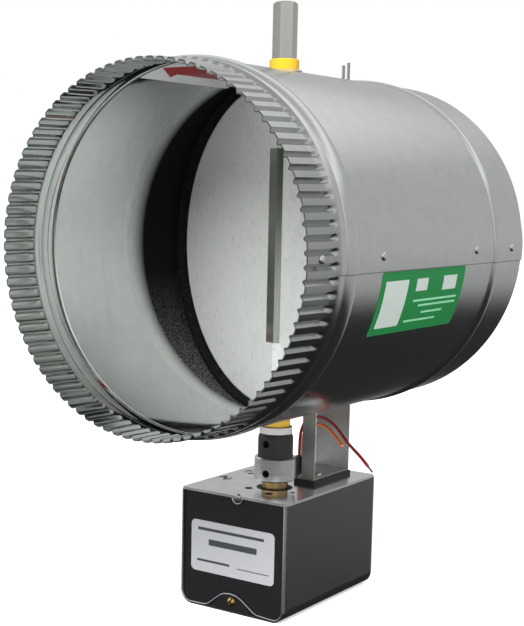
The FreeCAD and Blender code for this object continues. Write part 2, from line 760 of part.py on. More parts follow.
def motor_core():
    """Rotor, winding and steel can under the lower gear plate."""
    idler, rotor = train_places()
    top = size("lower_plate_top") + size("plate_thickness")
    can = size("can_radius")
    wall = size("can_wall")
    height = size("can_height")
    gap = size("rotor_radius") / 12
    arbor = size("arbor_radius")
    up = Vector(0, 0, 1)

    def tube(outside, inside, start, length):
        shape = bar(outside, Vector(rotor.x, rotor.y, -start - length), up, length)
        return shape.cut(bar(inside, Vector(rotor.x, rotor.y, -start - length), up, length))

    shell = tube(can, can - wall, top, height - wall)
    floor = tube(can, arbor + size("run_fit"), top + height - wall, wall)
    feature("motor_can", shell.fuse(floor))
    winding = height - wall - 2 * gap
    feature("motor_coil", tube(can - wall - size("seat_fit"), size("coil_inner"), top + gap, winding))
    magnet = bar(size("rotor_radius"), Vector(rotor.x, rotor.y, -top - height + wall + gap), up,
                 height - wall - 2 * gap)
    spindle = bar(arbor, Vector(rotor.x, rotor.y, -top - height), up, top + height - size("housing_top"))
    feature("motor_rotor", magnet.fuse(spindle))


def add_holes(body, places, sketch_offset, depth, reverse=False):
    """Round holes down through a plate, each given as (x, y, radius) expressions."""
    for x, y, radius in places:
        add_pocket(body, circle(new_sketch(body, "XY_Plane", sketch_offset), x, y, radius), depth, reverse)


def place_text(vector):
    return "%.6f" % vector.x, "%.6f" % vector.y


def rectangle(left, right, front, back):
    return [(left, front), (right, front), (right, back), (left, back)]


def post_places():
    inset = size("post_inset")
    left = inset - size("housing_left")
    right = size("housing_right") - inset
    front = inset - size("housing_front")
    back = size("housing_back") - inset
    return [(left, front), (right, back), (right, front), (left, back)]


def gear_plates():
    """Top plate of the housing, lower gear plate and the posts between them."""
    idler, rotor = train_places()
    pivot = "Sizes.arbor_radius + Sizes.run_fit"
    arbors = [place_text(idler) + (pivot,), place_text(rotor) + (pivot,)]
    body = new_body("gear_plate")
    over = " + Sizes.plate_overhang)"
    corners = rectangle("-(Sizes.housing_left" + over, "(Sizes.housing_right" + over,
                        "-(Sizes.housing_front" + over, "(Sizes.housing_back" + over)
    sketch = polygon(new_sketch(body, "XY_Plane", minus(PLATE_UNDER)), corners)
    add_pad(body, sketch, "Sizes.plate_thickness")
    thickness = size("plate_thickness")
    add_fillet(body, lambda e: abs(e.Length - thickness) < 1e-6, "Sizes.plate_corner")
    add_holes(body, [("0", "0", "Sizes.bearing_stem + Sizes.seat_fit")] + arbors,
              minus("Sizes.housing_top"), "2 * Sizes.plate_thickness")
    add_holes(body, [("Sizes.foot_screw_x", "Sizes.foot_screw_y", "Sizes.rivet_shank + Sizes.seat_fit")],
              minus("Sizes.housing_top"), "2 * Sizes.plate_thickness")
    finish(body)

    body = new_body("lower_gear_plate")
    margin = " - Sizes.housing_wall - Sizes.lower_plate_margin)"
    corners = rectangle("-(Sizes.housing_left" + margin, "(Sizes.housing_right" + margin,
                        "-(Sizes.housing_front" + margin, "(Sizes.housing_back" + margin)
    sketch = polygon(new_sketch(body, "XY_Plane", minus(LOWER_UNDER)), corners)
    add_pad(body, sketch, "Sizes.plate_thickness")
    add_holes(body, [("0", "0", "Sizes.pivot_radius + Sizes.run_fit")] + arbors,
              minus("Sizes.lower_plate_top"), "2 * Sizes.plate_thickness")
    finish(body)

    top = size("housing_top") + size("plate_thickness")
    length = size("lower_plate_top") - top
    posts = [bar(size("post_radius"), Vector(x, y, -top - length), Vector(0, 0, 1), length)
             for x, y in post_places()]
    feature("gear_posts", Part.makeCompound(posts))


def motor_housing():
    """Folded cover with rounded lower corners, and the front panel set inside its edge."""
    body = new_body("motor_cover")
    bottom = "(Sizes.housing_top + Sizes.housing_height)"
    sketch = new_sketch(body, "XY_Plane", minus(bottom))
    polygon(sketch, rectangle("-Sizes.housing_left", "Sizes.housing_right",
                              "-Sizes.housing_front", "Sizes.housing_back"))
    add_pad(body, sketch, bottom + " - " + PLATE_UNDER)
    low = -(size("housing_top") + size("housing_height"))

    def along_duct(edge, height):
        middle = edge.CenterOfMass
        first, last = edge.Vertexes[0].Point, edge.Vertexes[-1].Point
        return abs(middle.z - height) < 1e-4 and abs(first.x - last.x) < 1e-4

    inner = new_sketch(body, "XY_Plane", minus(bottom + " - Sizes.housing_wall"))
    polygon(inner, rectangle("Sizes.housing_wall - Sizes.housing_left",
                             "Sizes.housing_right - Sizes.housing_wall", "-2 * Sizes.housing_front",
                             "Sizes.housing_back - Sizes.housing_wall"))
    add_pocket(body, inner, "Sizes.housing_height", reverse=True)
    wall = size("housing_wall")
    add_fillet(body, lambda e: along_duct(e, low + wall), "Sizes.housing_round - Sizes.housing_wall")
    add_fillet(body, lambda e: along_duct(e, low), "Sizes.housing_round")
    finish(body)

    gap = "(Sizes.housing_wall + Sizes.panel_gap)"
    front = "(Sizes.housing_front - Sizes.panel_inset - Sizes.panel_thickness)"
    body = new_body("front_panel")
    panel_low = minus(bottom + " - " + gap)
    panel_high = minus(PLATE_UNDER + " + Sizes.panel_gap")
    left = "(" + gap + " - Sizes.housing_left)"
    right = "(Sizes.housing_right - " + gap + ")"
    sketch = new_sketch(body, "XZ_Plane", front)
    polygon(sketch, [(left, panel_low), (right, panel_low), (right, panel_high), (left, panel_high)])
    add_pad(body, sketch, "Sizes.panel_thickness")
    panel_bottom = low + wall + size("panel_gap")
    thickness = size("panel_thickness")
    add_fillet(body, lambda e: abs(e.Length - thickness) < 1e-6
               and abs(e.CenterOfMass.z - panel_bottom) < 1e-4, "Sizes.housing_round - " + gap)
    centre = "((Sizes.housing_right - Sizes.housing_left) / 2)"
    face = "(" + front + " + Sizes.panel_thickness / 2)"
    hill = new_sketch(body, "XZ_Plane", face)
    hill_low = minus(bottom + " - Sizes.housing_wall - 2 * Sizes.panel_gap")
    hill_top = minus(bottom + " - Sizes.housing_wall - Sizes.hill_height")
    polygon(hill, [(centre + " - Sizes.hill_width / 2", hill_low),
                   (centre + " + Sizes.hill_width / 2", hill_low),
                   (centre + " + Sizes.hill_width / 6", hill_top),
                   (centre + " - Sizes.hill_width / 6", hill_top)])
    add_pad(body, hill, "Sizes.panel_thickness / 2 + Sizes.hill_rise")
    hole = new_sketch(body, "XZ_Plane", "(Sizes.housing_front + 1)")
    circle(hole, centre, minus(bottom + " - Sizes.hill_height / 2 - Sizes.housing_wall"),
           "Sizes.rivet_shank + Sizes.seat_fit")
    add_pocket(body, hole, "Sizes.housing_front / 2", reverse=False)
    finish(body)


def headed_pin(head, rise, shank, length):
    """Slotted round-head screw along -Z, its head's seat at the origin."""
    dome = Part.Arc(Vector(head, 0, 0), Vector(head * 0.72, 0, rise * 0.7), Vector(0, 0, rise)).toShape()
    corners = [Vector(0, 0, rise), Vector(0, 0, -length), Vector(shank, 0, -length), Vector(shank, 0, 0),
               Vector(head, 0, 0)]
    face = Part.Face(Part.Wire(Part.makePolygon(corners).Edges + [dome]))
    shape = face.revolve(Vector(0, 0, 0), Vector(0, 0, 1), 360)
    width = head / 3
    return shape.cut(Part.makeBox(3 * head, width, rise, Vector(-1.5 * head, -width / 2, rise * 0.45)))


def screws():
    shank = size("rivet_shank")
    head = 2 * shank
    foot_top = size("housing_top") - size("pad_thickness") - size("bracket_sheet")
    shape = headed_pin(head, size("rivet_rise") * 1.6, shank, size("housing_top") - foot_top + 3)
    shape.rotate(Vector(0, 0, 0), Vector(0, 0, 1), 35)
    shape.translate(Vector(size("foot_screw_x"), size("foot_screw_y"), -foot_top))
    feature("foot_screw", shape)
    centre = (size("housing_right") - size("housing_left")) / 2
    height = -(size("housing_top") + size("housing_height") - size("hill_height") / 2 - size("housing_wall"))
    shape = headed_pin(head * 0.95, size("rivet_rise") * 1.2, shank, 4 * size("panel_thickness"))
    shape.rotate(Vector(0, 0, 0), Vector(0, 0, 1), 60)
    shape.rotate(Vector(0, 0, 0), Vector(1, 0, 0), 90)
    face = size("housing_front") - size("panel_inset") + size("hill_rise")
    shape.translate(Vector(centre, -face, height))
    feature("cover_screw", shape)


def bracket():
    """Folded bracket: foot on the pad, narrow front leg, wide rear plate and curved tabs on the duct."""
    thick = size("bracket_sheet")
    left = -size("bracket_left")
    right = size("bracket_right")
    front = size("bracket_front")
    back = size("bracket_back")
    pad_top = -(size("housing_top") - size("pad_thickness"))
    seat = outer_radius + size("seat_fit")
    tab = size("tab_length")
    leg = right - size("leg_width")
    height = -pad_top - seat / 2

    def slab(points, low, depth):
        corners = [Vector(x, y, low) for x, y in points]
        return Part.Face(Part.makePolygon(corners + corners[:1])).extrude(Vector(0, 0, depth))

    def outline(border):
        return [(left - border, back + thick), (right + border, back + thick),
                (right + border, front - border), (right - size("foot_front_width") - border, front - border)]

    def saddle(x_low, x_high, y_low):
        sleeve = bar(seat + thick, Vector(0, y_low, 0), Vector(0, 1, 0), tab + thick)
        window = Part.makeBox(x_high - x_low, tab + thick, 2 * seat, Vector(x_low, y_low, -2 * seat))
        return sleeve.common(window)

    plate = Part.makeBox(right - left, thick, height, Vector(left, back, pad_top))
    front_leg = Part.makeBox(right - leg, thick, height, Vector(leg, front, pad_top))
    foot = slab(outline(0), pad_top, thick)
    shape = foot.multiFuse([plate, front_leg, saddle(left, right, back), saddle(leg, right, front)])
    shape = shape.cut(bar(seat, Vector(0, front - tab, 0), Vector(0, 1, 0), back + 4 * tab))
    grip = 4 * size("rivet_rise")
    for y, angle in bracket_rivet_places():
        hole = rivet_hole(y, angle, grip)
        hole.translate(Vector(0, -shaft_y, 0))
        shape = shape.cut(hole)
    screw = Vector(size("foot_screw_x"), size("foot_screw_y"), -size("housing_top"))
    bolt = bar(size("rivet_shank") + size("seat_fit"), screw, Vector(0, 0, 1), 4 * size("pad_thickness"))
    feature("motor_bracket", shape.cut(bolt))
    pad = slab(outline(size("pad_border")), -size("housing_top"), size("pad_thickness"))
    feature("bracket_pad", pad.cut(bolt))
    rivets = [rivet(thick + size("seat_fit") + size("duct_sheet"), seat + thick, y - shaft_y, angle)
              for y, angle in bracket_rivet_places()]
    feature("bracket_rivets", Part.makeCompound(rivets))


def grommet():
    top = -(size("housing_top") - size("grommet_height"))
    radius = size("grommet_radius")
    height = size("grommet_height")
    shape = bar(radius * 1.25, Vector(0, 0, -size("housing_top")), Vector(0, 0, 1), height * 0.3)
    shape = shape.fuse(bar(radius, Vector(0, 0, top - height), Vector(0, 0, 1), height))
    shape.translate(Vector(-size("grommet_x"), size("grommet_y"), 0))
    return feature("cable_grommet", shape)


RED_ROUTE = [(-18.1, 58.0, -139.9), (-18.1, 58.0, -130.5), (-16.6, 57.0, -121.5), (-11.0, 54.3, -114.0),
             (-2.5, 51.0, -110.6), (6.5, 48.0, -110.4), (15.0, 44.6, -113.0), (22.5, 40.8, -117.4),
             (29.5, 36.6, -121.8), (37.5, 31.6, -124.9), (45.5, 26.4, -127.8), (52.5, 21.6, -131.2)]
ORANGE_ROUTE = [(-15.7, 58.0, -139.9), (-15.7, 58.0, -131.0), (-13.4, 55.2, -123.0), (-7.0, 51.6, -117.2),
                (1.5, 48.2, -114.8), (10.0, 44.8, -115.6), (18.0, 41.0, -119.2), (26.0, 36.4, -124.2)]


def lead_path(route):
    """Straight runs joined by tangent arcs, each arc as large as its two runs allow."""
    points = [Vector(*p) for p in route]
    edges = []
    start = points[0]
    radii = []
    for before, corner, after in zip(points, points[1:], points[2:]):
        arriving = (corner - before).normalize()
        leaving = (after - corner).normalize()
        half_turn = arriving.getAngle(leaving) / 2
        run = min((corner - before).Length, (after - corner).Length)
        setback = 0.45 * run
        radius = setback / math.tan(half_turn)
        radii.append(round(radius, 1))
        first = corner - arriving * setback
        last = corner + leaving * setback
        inward = (leaving - arriving).normalize()
        middle = corner + inward * (radius / math.cos(half_turn) - radius)
        edges.append(Part.LineSegment(start, first).toShape())
        edges.append(Part.Arc(first, middle, last).toShape())
        start = last
    edges.append(Part.LineSegment(start, points[-1]).toShape())
    return Part.Wire(edges), radii


def lead(label, route):
    path, radii = lead_path(route)
    along = (Vector(*route[1]) - Vector(*route[0])).normalize()
    section = Part.Wire(Part.Circle(Vector(*route[0]), along, size("lead_radius")).toShape())
    shape = path.makePipeShell([section], True, False)
    expected = math.pi * size("lead_radius") ** 2 * path.Length
    print(label, "length", round(path.Length, 1), "radii", radii,
          "volume ratio", round(shape.Volume / expected, 4))
    return feature(label, shape)


def leads():
    lead("red_lead", RED_ROUTE)
    lead("orange_lead", ORANGE_ROUTE)
    end = Vector(*RED_ROUTE[-1])
    direction = (end - Vector(*RED_ROUTE[-2])).normalize()
    feature("lead_tip", bar(size("lead_tip_radius"), end, direction, size("lead_tip_length")))


seam_rivets()
wire_clip()
damper_shaft()
bushing("upper_bushing", True)
bushing("lower_bushing", False)
duct_washer("upper_washer", True)
duct_washer("lower_washer", False)
disc("front_disc", True)
disc("rear_disc", False)
foam_gasket()
coupling()
height = levels()
set_screw("coupler_screw", -height["spacer_end"] - size("coupler_height") * 0.42,
          size("hex_across") / 2 + size("seat_fit"), size("coupler_radius"))
set_screw("collar_screw", -height["collar_top"] - size("collar_height") * 0.64,
          size("output_radius") + size("seat_fit"), size("collar_radius"))
output_shaft()
output_bearing()
gear_train()
motor_core()
gear_plates()
motor_housing()
screws()
bracket()
grommet()
leads()
doc.recompute()

for item in doc.Objects:
    if "Invalid" in item.State or "Error" in item.State:
        raise RuntimeError("%s failed to build" % item.Name)
for node in nodes:
    if node.Shape.isNull() or not node.Shape.isValid():
        raise RuntimeError("%s has no valid shape" % node.Label)
for node in nodes:
    node.Shape.exportStep("parts/%s.step" % node.Label)
print(len(nodes), "nodes written")
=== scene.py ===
import math

import bmesh
import bpy
from mathutils import Matrix, Vector


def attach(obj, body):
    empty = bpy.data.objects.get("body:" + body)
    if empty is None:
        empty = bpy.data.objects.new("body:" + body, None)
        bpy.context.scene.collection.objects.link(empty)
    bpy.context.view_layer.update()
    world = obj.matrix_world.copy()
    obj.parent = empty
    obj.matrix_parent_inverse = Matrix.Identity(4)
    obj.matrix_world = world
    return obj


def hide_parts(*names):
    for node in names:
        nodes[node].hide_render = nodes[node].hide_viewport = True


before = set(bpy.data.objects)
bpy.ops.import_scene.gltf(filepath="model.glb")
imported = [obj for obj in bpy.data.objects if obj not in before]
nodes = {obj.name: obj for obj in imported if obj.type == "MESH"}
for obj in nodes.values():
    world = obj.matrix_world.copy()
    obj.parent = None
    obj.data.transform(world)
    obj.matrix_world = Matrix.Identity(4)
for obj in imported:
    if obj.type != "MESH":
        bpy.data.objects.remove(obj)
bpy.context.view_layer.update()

MM = 0.001
SHAFT_Y = -121.0
BORE = 101.6
SHEET = 0.7
OUTER = BORE + SHEET
IMAGE_WIDTH, IMAGE_HEIGHT = 524, 626
SENSOR = 36.0
REST_TURN = math.radians(-21.0)


def at(x, y, z):
    """Millimetres from the shaft axis to metres in the row frame."""
    return Vector((x * MM, (y + SHAFT_Y) * MM, z * MM))


# Camera

def aim_camera():
    """The camera fitted to the photo, with its centre of view off the middle of the picture."""
    azimuth, elevation, roll = math.radians(36.711), math.radians(7.851), math.radians(0.728)
    distance, across, up_by, focal = 769.928, -59.751, -73.864, 1290.144
    centre_x, centre_y, scale = 180.0, 370.0, 1.00689
    back = Vector((math.sin(azimuth) * math.cos(elevation), -math.cos(azimuth) * math.cos(elevation),
                   math.sin(elevation)))
    right = Vector((math.cos(azimuth), math.sin(azimuth), 0.0))
    up = back.cross(right)
    turned_right = right * math.cos(roll) + up * math.sin(roll)
    turned_up = up * math.cos(roll) - right * math.sin(roll)
    position = (back * distance + turned_right * across + turned_up * up_by) * scale
    data = bpy.data.cameras.new("photo_camera")
    camera = bpy.data.objects.new("photo_camera", data)
    bpy.context.scene.collection.objects.link(camera)
    data.sensor_width = SENSOR
    data.sensor_fit = "AUTO"
    data.lens = focal * SENSOR / IMAGE_HEIGHT
    data.shift_x = (IMAGE_WIDTH / 2 - centre_x) / IMAGE_HEIGHT
    data.shift_y = (centre_y - IMAGE_HEIGHT / 2) / IMAGE_HEIGHT
    data.clip_start = 0.01
    data.clip_end = 30.0
    matrix = camera.matrix_world.to_3x3()
    for row in range(3):
        matrix[row][0], matrix[row][1], matrix[row][2] = turned_right[row], turned_up[row], back[row]
    camera.matrix_world = matrix.to_4x4()
    camera.location = at(*position)
    bpy.context.scene.camera = camera


aim_camera()


# Shader helpers

class Shader:
    """A node material under construction."""

    def __init__(self, name):
        self.material = bpy.data.materials.new(name)
        self.material.use_nodes = True
        self.tree = self.material.node_tree
        self.surface = self.tree.nodes["Principled BSDF"]
        self.place = None

    def add(self, kind, **values):
        node = self.tree.nodes.new(kind)
        for key, value in values.items():
            setattr(node, key, value)
        return node

    def link(self, source, target):
        self.tree.links.new(source, target)

    def put(self, socket, value):
        self.surface.inputs[socket].default_value = value

    def coordinates(self, scale=(1, 1, 1)):
        if self.place is None:
            self.place = self.add("ShaderNodeTexCoord")
        mapping = self.add("ShaderNodeMapping")
        mapping.inputs["Scale"].default_value = scale
        self.link(self.place.outputs["Object"], mapping.inputs["Vector"])
        return mapping.outputs["Vector"]

    def noise(self, vector, scale, detail=3.0, roughness=0.5):
        node = self.add("ShaderNodeTexNoise")
        node.inputs["Scale"].default_value = scale
        node.inputs["Detail"].default_value = detail
        node.inputs["Roughness"].default_value = roughness
        self.link(vector, node.inputs["Vector"])
        return node.outputs["Fac"]

    def cells(self, vector, scale):
        node = self.add("ShaderNodeTexVoronoi")
        node.inputs["Scale"].default_value = scale
        self.link(vector, node.inputs["Vector"])
        return node

    def ramp(self, source, stops):
        """Grey levels, each as (position, level)."""
        node = self.add("ShaderNodeValToRGB")
        elements = node.color_ramp.elements
        while len(elements) < len(stops):
            elements.new(0.5)
        for element, (position, level) in zip(elements, stops):
            element.position = position
            element.color = (level, level, level, 1.0)
        self.link(source, node.inputs["Fac"])
        return node.outputs["Color"]

    def span(self, source, low, high, from_low=0.0, from_high=1.0):
        node = self.add("ShaderNodeMapRange")
        for key, value in (("From Min", from_low), ("From Max", from_high),
                           ("To Min", low), ("To Max", high)):
            node.inputs[key].default_value = value
        self.link(source, node.inputs["Value"])
        return node.outputs["Result"]

    def math(self, operation, first, second=0.0):
        node = self.add("ShaderNodeMath", operation=operation)
        for socket, value in zip(node.inputs, (first, second)):
            if isinstance(value, (int, float)):
                socket.default_value = value
            else:
                self.link(value, socket)
        return node.outputs["Value"]

    def mix(self, factor, first, second):
        node = self.add("ShaderNodeMix", data_type="RGBA")
        sockets = (node.inputs[0], node.inputs[6], node.inputs[7])
        for socket, value in zip(sockets, (factor, first, second)):
            if isinstance(value, (int, float)):
                socket.default_value = value
            elif isinstance(value, tuple):
                socket.default_value = (*value, 1.0)
            else:
                self.link(value, socket)
        return node.outputs[2]

    def bump(self, height, strength, distance):
        node = self.add("ShaderNodeBump")
        node.inputs["Strength"].default_value = strength
        node.inputs["Distance"].default_value = distance
        self.link(height, node.inputs["Height"])
        self.link(node.outputs["Normal"], self.surface.inputs["Normal"])

    def drive(self, socket, source):
        self.link(source, self.surface.inputs[socket])


def galvanised(name, pale, dark, rough, spangle=160.0, specks=0.0, duct=False, metallic=1.0):
    """Zinc-coated sheet: soft spangle, fine rolling streaks and a little handling wear."""
    shader = Shader(name)
    plain = shader.coordinates()
    drawn = shader.coordinates(scale=(1, 0.12, 1))
    crystals = shader.cells(plain, spangle).outputs["Color"]
    grain = shader.ramp(crystals, [(0.2, 0.0), (0.8, 1.0)])
    cloud = shader.noise(plain, 9.0, 3.0, 0.5)
    lines = shader.noise(drawn, 420.0, 2.0, 0.6)
    level = shader.math("ADD", shader.math("MULTIPLY", grain, 0.25),
                        shader.math("MULTIPLY", lines, 0.35))
    level = shader.math("ADD", level, shader.math("MULTIPLY", cloud, 0.4))
    tone = shader.mix(level, dark, pale)
    if specks:
        spots = shader.noise(shader.coordinates(scale=(1.0, 1.0, 0.4)), 520.0, 3.0, 0.75)
        mask = shader.ramp(spots, [(0.62, 0.0), (0.70, 1.0)])
        tone = shader.mix(shader.math("MULTIPLY", mask, specks), tone, tuple(0.45 * c for c in dark))
    polish = shader.math("ADD", shader.math("MULTIPLY", cloud, 0.35),
                         shader.math("MULTIPLY", lines, 0.65))
    gloss = shader.span(polish, rough * 0.85, rough * 1.2)
    if duct:
        tone, gloss, bare = duct_marks(shader, tone, gloss)
        shader.drive("Metallic", bare)
    else:
        shader.put("Metallic", metallic)
    shader.put("Specular IOR Level", 0.15)
    shader.drive("Base Color", tone)
    shader.drive("Roughness", gloss)
    shader.bump(shader.math("ADD", lines, shader.math("MULTIPLY", grain, 0.4)), 0.12, 0.00012)
    return shader.material


# Ends of the black band painted on the inner wall as the foam gasket's reflection and shade, in mm from the
# shaft.
PAINTED_BAND_FRONT = (-22.0, -4.0)
PAINTED_BAND_REAR = (40.0, 42.0)
CRIMP_END = (-227.5, -225.5)
MOUTH_EDGE = (-253.98, -253.94)
LAP_ANGLE = math.radians(-4.6)
LAP_LINE = (math.radians(0.12), math.radians(0.30))
INNER_GLOSS = 0.40


def duct_marks(shader, tone, gloss):
    """A black band painted on the inner wall as the foam gasket's reflection and shade, smoother zinc
    inside, darker and rougher crimps, the mouth's cut edge and the lap line.
    """
    split = shader.add("ShaderNodeSeparateXYZ")
    shader.link(shader.coordinates(), split.inputs[0])
    across, along, height = split.outputs
    inside = shader.add("ShaderNodeAttribute", attribute_name="inner_face").outputs["Fac"]
    gloss = shader.math("MULTIPLY", gloss, shader.span(inside, 1.0, INNER_GLOSS))
    # Painted reflection and shade of the foam gasket: a black band all round the inner wall by the blade,
    # with pale specks only towards the bottom.
    front = shader.span(along, 0.0, 1.0, *((SHAFT_Y + y) * MM for y in PAINTED_BAND_FRONT))
    rear = shader.span(along, 1.0, 0.0, *((SHAFT_Y + y) * MM for y in PAINTED_BAND_REAR))
    ring = shader.math("MULTIPLY", shader.math("MULTIPLY", front, rear), inside)
    fine = shader.noise(shader.coordinates(), 900.0, 3.0, 0.7)
    low = shader.span(height, 1.0, 0.0, -0.085, -0.02)
    dust = shader.math("MULTIPLY", shader.ramp(fine, [(0.46, 0.0), (0.66, 1.0)]), low)
    painted_band_colour = shader.mix(dust, (0.002, 0.002, 0.003), (0.13, 0.13, 0.125))
    tone = shader.mix(ring, tone, painted_band_colour)
    # The crimped band is made darker and a little rougher.
    darker_crimp_band = shader.span(along, 1.0, 0.0, *(y * MM for y in CRIMP_END))
    tone = shader.mix(shader.math("MULTIPLY", darker_crimp_band, 0.42), tone, (0.26, 0.28, 0.27))
    gloss = shader.math("ADD", gloss, shader.math("MULTIPLY", darker_crimp_band, 0.06))
    edge = shader.span(along, 1.0, 0.0, *(y * MM for y in MOUTH_EDGE))
    tone = shader.mix(edge, tone, (0.20, 0.20, 0.195))
    angle = shader.math("ARCTAN2", height, across)
    off_lap = shader.math("ABSOLUTE", shader.math("SUBTRACT", angle, LAP_ANGLE))
    lap_line = shader.math("MULTIPLY", shader.span(off_lap, 1.0, 0.0, *LAP_LINE),
                           shader.span(along, 0.0, 1.0, -0.2270, -0.2260))
    tone = shader.mix(shader.math("MULTIPLY", lap_line, 0.6), tone, (0.10, 0.10, 0.10))
    gloss = shader.math("MAXIMUM", gloss, shader.math("MULTIPLY", ring, 0.8))
    gloss = shader.math("MAXIMUM", gloss, shader.math("MULTIPLY", edge, 0.6))
    return tone, gloss, shader.math("SUBTRACT", 1.0, ring)


def metal(name, colour, rough, grain=600.0, stretch=(1, 1, 1), bump=0.08, metallic=1.0):
    """Bare or plated metal with fine lines, drawn out along an axis by the stretch."""
    shader = Shader(name)
    drawn = shader.coordinates(scale=stretch)
    lines = shader.noise(drawn, grain, 3.0, 0.6)
    shader.drive("Base Color", shader.mix(lines, tuple(0.82 * c for c in colour),
                                          tuple(min(1.0, 1.12 * c) for c in colour)))
    shader.put("Metallic", metallic)
    shader.drive("Roughness", shader.span(lines, rough * 0.8, rough * 1.25))
    shader.bump(lines, bump, 0.0001)
    return shader.material


def coated(name, colour, rough, grain=500.0, bump=0.1, coat=0.0, variation=0.15,
           shine=0.5):
    """Paint, rubber or moulded plastic with a fine surface grain."""
    shader = Shader(name)
    plain = shader.coordinates()
    fine = shader.noise(plain, grain, 3.0, 0.55)
    broad = shader.noise(plain, 25.0, 3.0, 0.5)
    shader.drive("Base Color", shader.mix(broad, tuple(c * (1 - variation) for c in colour),
                                          tuple(min(1.0, c * (1 + variation)) for c in colour)))
    both = shader.math("ADD", shader.math("MULTIPLY", fine, 0.5), shader.math("MULTIPLY", broad, 0.5))
    shader.drive("Roughness", shader.span(both, rough * 0.8, rough * 1.2))
    shader.put("Coat Weight", coat)
    shader.put("Specular IOR Level", shine)
    shader.bump(fine, bump, 0.00015)
    return shader.material


def foam(name):
    """Black closed-cell foam with torn cells and pale dust on it."""
    shader = Shader(name)
    plain = shader.coordinates()
    pores = shader.cells(plain, 700.0).outputs["Distance"]
    dust = shader.noise(plain, 620.0, 3.0, 0.7)
    speck = shader.ramp(dust, [(0.60, 0.0), (0.68, 1.0)])
    tone = shader.mix(shader.math("MULTIPLY", speck, 0.5), (0.004, 0.004, 0.004), (0.07, 0.07, 0.07))
    shader.drive("Base Color", tone)
    shader.put("Roughness", 0.9)
    shader.put("Specular IOR Level", 0.15)
    shader.bump(shader.math("ADD", pores, dust), 0.8, 0.0008)
    return shader.material


zinc = galvanised("rolled_zinc_sheet", (0.76, 0.785, 0.765), (0.64, 0.67, 0.65), 0.19, duct=True)
blade_zinc = galvanised("blade_zinc_sheet", (0.80, 0.82, 0.80), (0.66, 0.69, 0.67), 0.45,
                        spangle=220.0, specks=0.6, metallic=0.45)
bracket_zinc = galvanised("bracket_zinc", (0.50, 0.52, 0.51), (0.34, 0.36, 0.35), 0.42,
                          specks=0.3, metallic=0.8)
MATERIALS = {
    "duct_shell": zinc,
    "wire_clip": bracket_zinc,
    "motor_bracket": bracket_zinc,
    "front_disc": blade_zinc,
    "rear_disc": blade_zinc,
    "foam_gasket": foam("black_cell_foam"),
    "seam_rivets": metal("rivet_aluminium", (0.80, 0.81, 0.80), 0.25),
    "bracket_rivets": metal("bracket_rivet_aluminium", (0.80, 0.81, 0.80), 0.28),
    "damper_shaft": metal("drawn_hexagon_steel", (0.62, 0.62, 0.58), 0.24, 300.0, (1, 1, 0.04), 0.10),
    "upper_bushing": coated("yellow_bushing", (0.60, 0.36, 0.015), 0.45),
    "lower_bushing": coated("yellow_lower_bushing", (0.60, 0.36, 0.015), 0.45),
    "upper_washer": coated("pale_washer", (0.36, 0.36, 0.35), 0.4),
    "lower_washer": coated("pale_lower_washer", (0.75, 0.74, 0.70), 0.4),
    "shaft_spacer": coated("white_spacer", (0.46, 0.46, 0.44), 0.4),
    "shaft_coupler": metal("dark_coupler", (0.05, 0.05, 0.052), 0.38, 500.0, (1, 1, 1), 0.1, 0.6),
    "drive_collar": metal("turned_collar", (0.78, 0.78, 0.78), 0.24, 300.0, (0.1, 0.1, 2), 0.10),
    "coupler_screw": metal("black_set_screw", (0.02, 0.02, 0.02), 0.5),
    "collar_screw": metal("black_collar_screw", (0.02, 0.02, 0.02), 0.5),
    "output_shaft": metal("output_steel", (0.55, 0.55, 0.55), 0.3),
    "output_bearing": metal("bearing_brass", (0.42, 0.29, 0.13), 0.30),
    "output_gear": metal("cut_steel", (0.50, 0.50, 0.50), 0.35),
    "idler_gear": metal("cut_brass", (0.70, 0.54, 0.26), 0.3),
    "rotor_pinion": metal("pinion_brass", (0.70, 0.54, 0.26), 0.3),
    "motor_can": metal("drawn_can_steel", (0.60, 0.61, 0.62), 0.35),
    "motor_coil": metal("copper_winding", (0.62, 0.30, 0.14), 0.3, 900.0, (1, 1, 6), 0.3),
    "motor_rotor": coated("ferrite", (0.05, 0.05, 0.052), 0.5),
    "gear_plate": metal("plated_top", (0.84, 0.85, 0.86), 0.16, 120.0, (1, 1, 1), 0.05),
    "lower_gear_plate": metal("plated_lower", (0.80, 0.81, 0.82), 0.25),
    "gear_posts": metal("post_steel", (0.55, 0.55, 0.55), 0.3),
    "motor_cover": metal("dark_cover_finish", (0.12, 0.125, 0.13), 0.20, 60.0, (1, 1, 1), 0.03, 0.9),
    "front_panel": coated("panel_enamel", (0.006, 0.006, 0.007), 0.34, 350.0),
    "foot_screw": metal("zinc_screw", (0.72, 0.72, 0.70), 0.28),
    "cover_screw": metal("brass_screw", (0.72, 0.50, 0.18), 0.25),
    "bracket_pad": coated("black_pad", (0.018, 0.018, 0.02), 0.55),
    "cable_grommet": coated("black_grommet", (0.015, 0.015, 0.015), 0.45),
    "red_lead": coated("red_insulation", (0.30, 0.012, 0.015), 0.35, coat=0.3),
    "orange_lead": coated("orange_insulation", (0.80, 0.16, 0.02), 0.35, coat=0.3),
    "lead_tip": metal("tinned_strands", (0.80, 0.80, 0.80), 0.2, 900.0, (1, 1, 1), 0.3),
}
for name, material in MATERIALS.items():
    node = nodes[name]
    node.data.materials.clear()
    node.data.materials.append(material)


# Leads

LEAD_RADIUS = 1.0
RED_ROUTE = [(-18.1, 58.0, -139.9), (-18.1, 58.0, -130.5), (-16.6, 57.0, -121.5), (-11.0, 54.3, -114.0),
             (-2.5, 51.0, -110.6), (6.5, 48.0, -110.4), (15.0, 44.6, -113.0), (22.5, 40.8, -117.4),
             (29.5, 36.6, -121.8), (37.5, 31.6, -124.9), (45.5, 26.4, -127.8), (52.5, 21.6, -131.2)]
ORANGE_ROUTE = [(-15.7, 58.0, -139.9), (-15.7, 58.0, -131.0), (-13.4, 55.2, -123.0), (-7.0, 51.6, -117.2),
                (1.5, 48.2, -114.8), (10.0, 44.8, -115.6), (18.0, 41.0, -119.2), (26.0, 36.4, -124.2)]


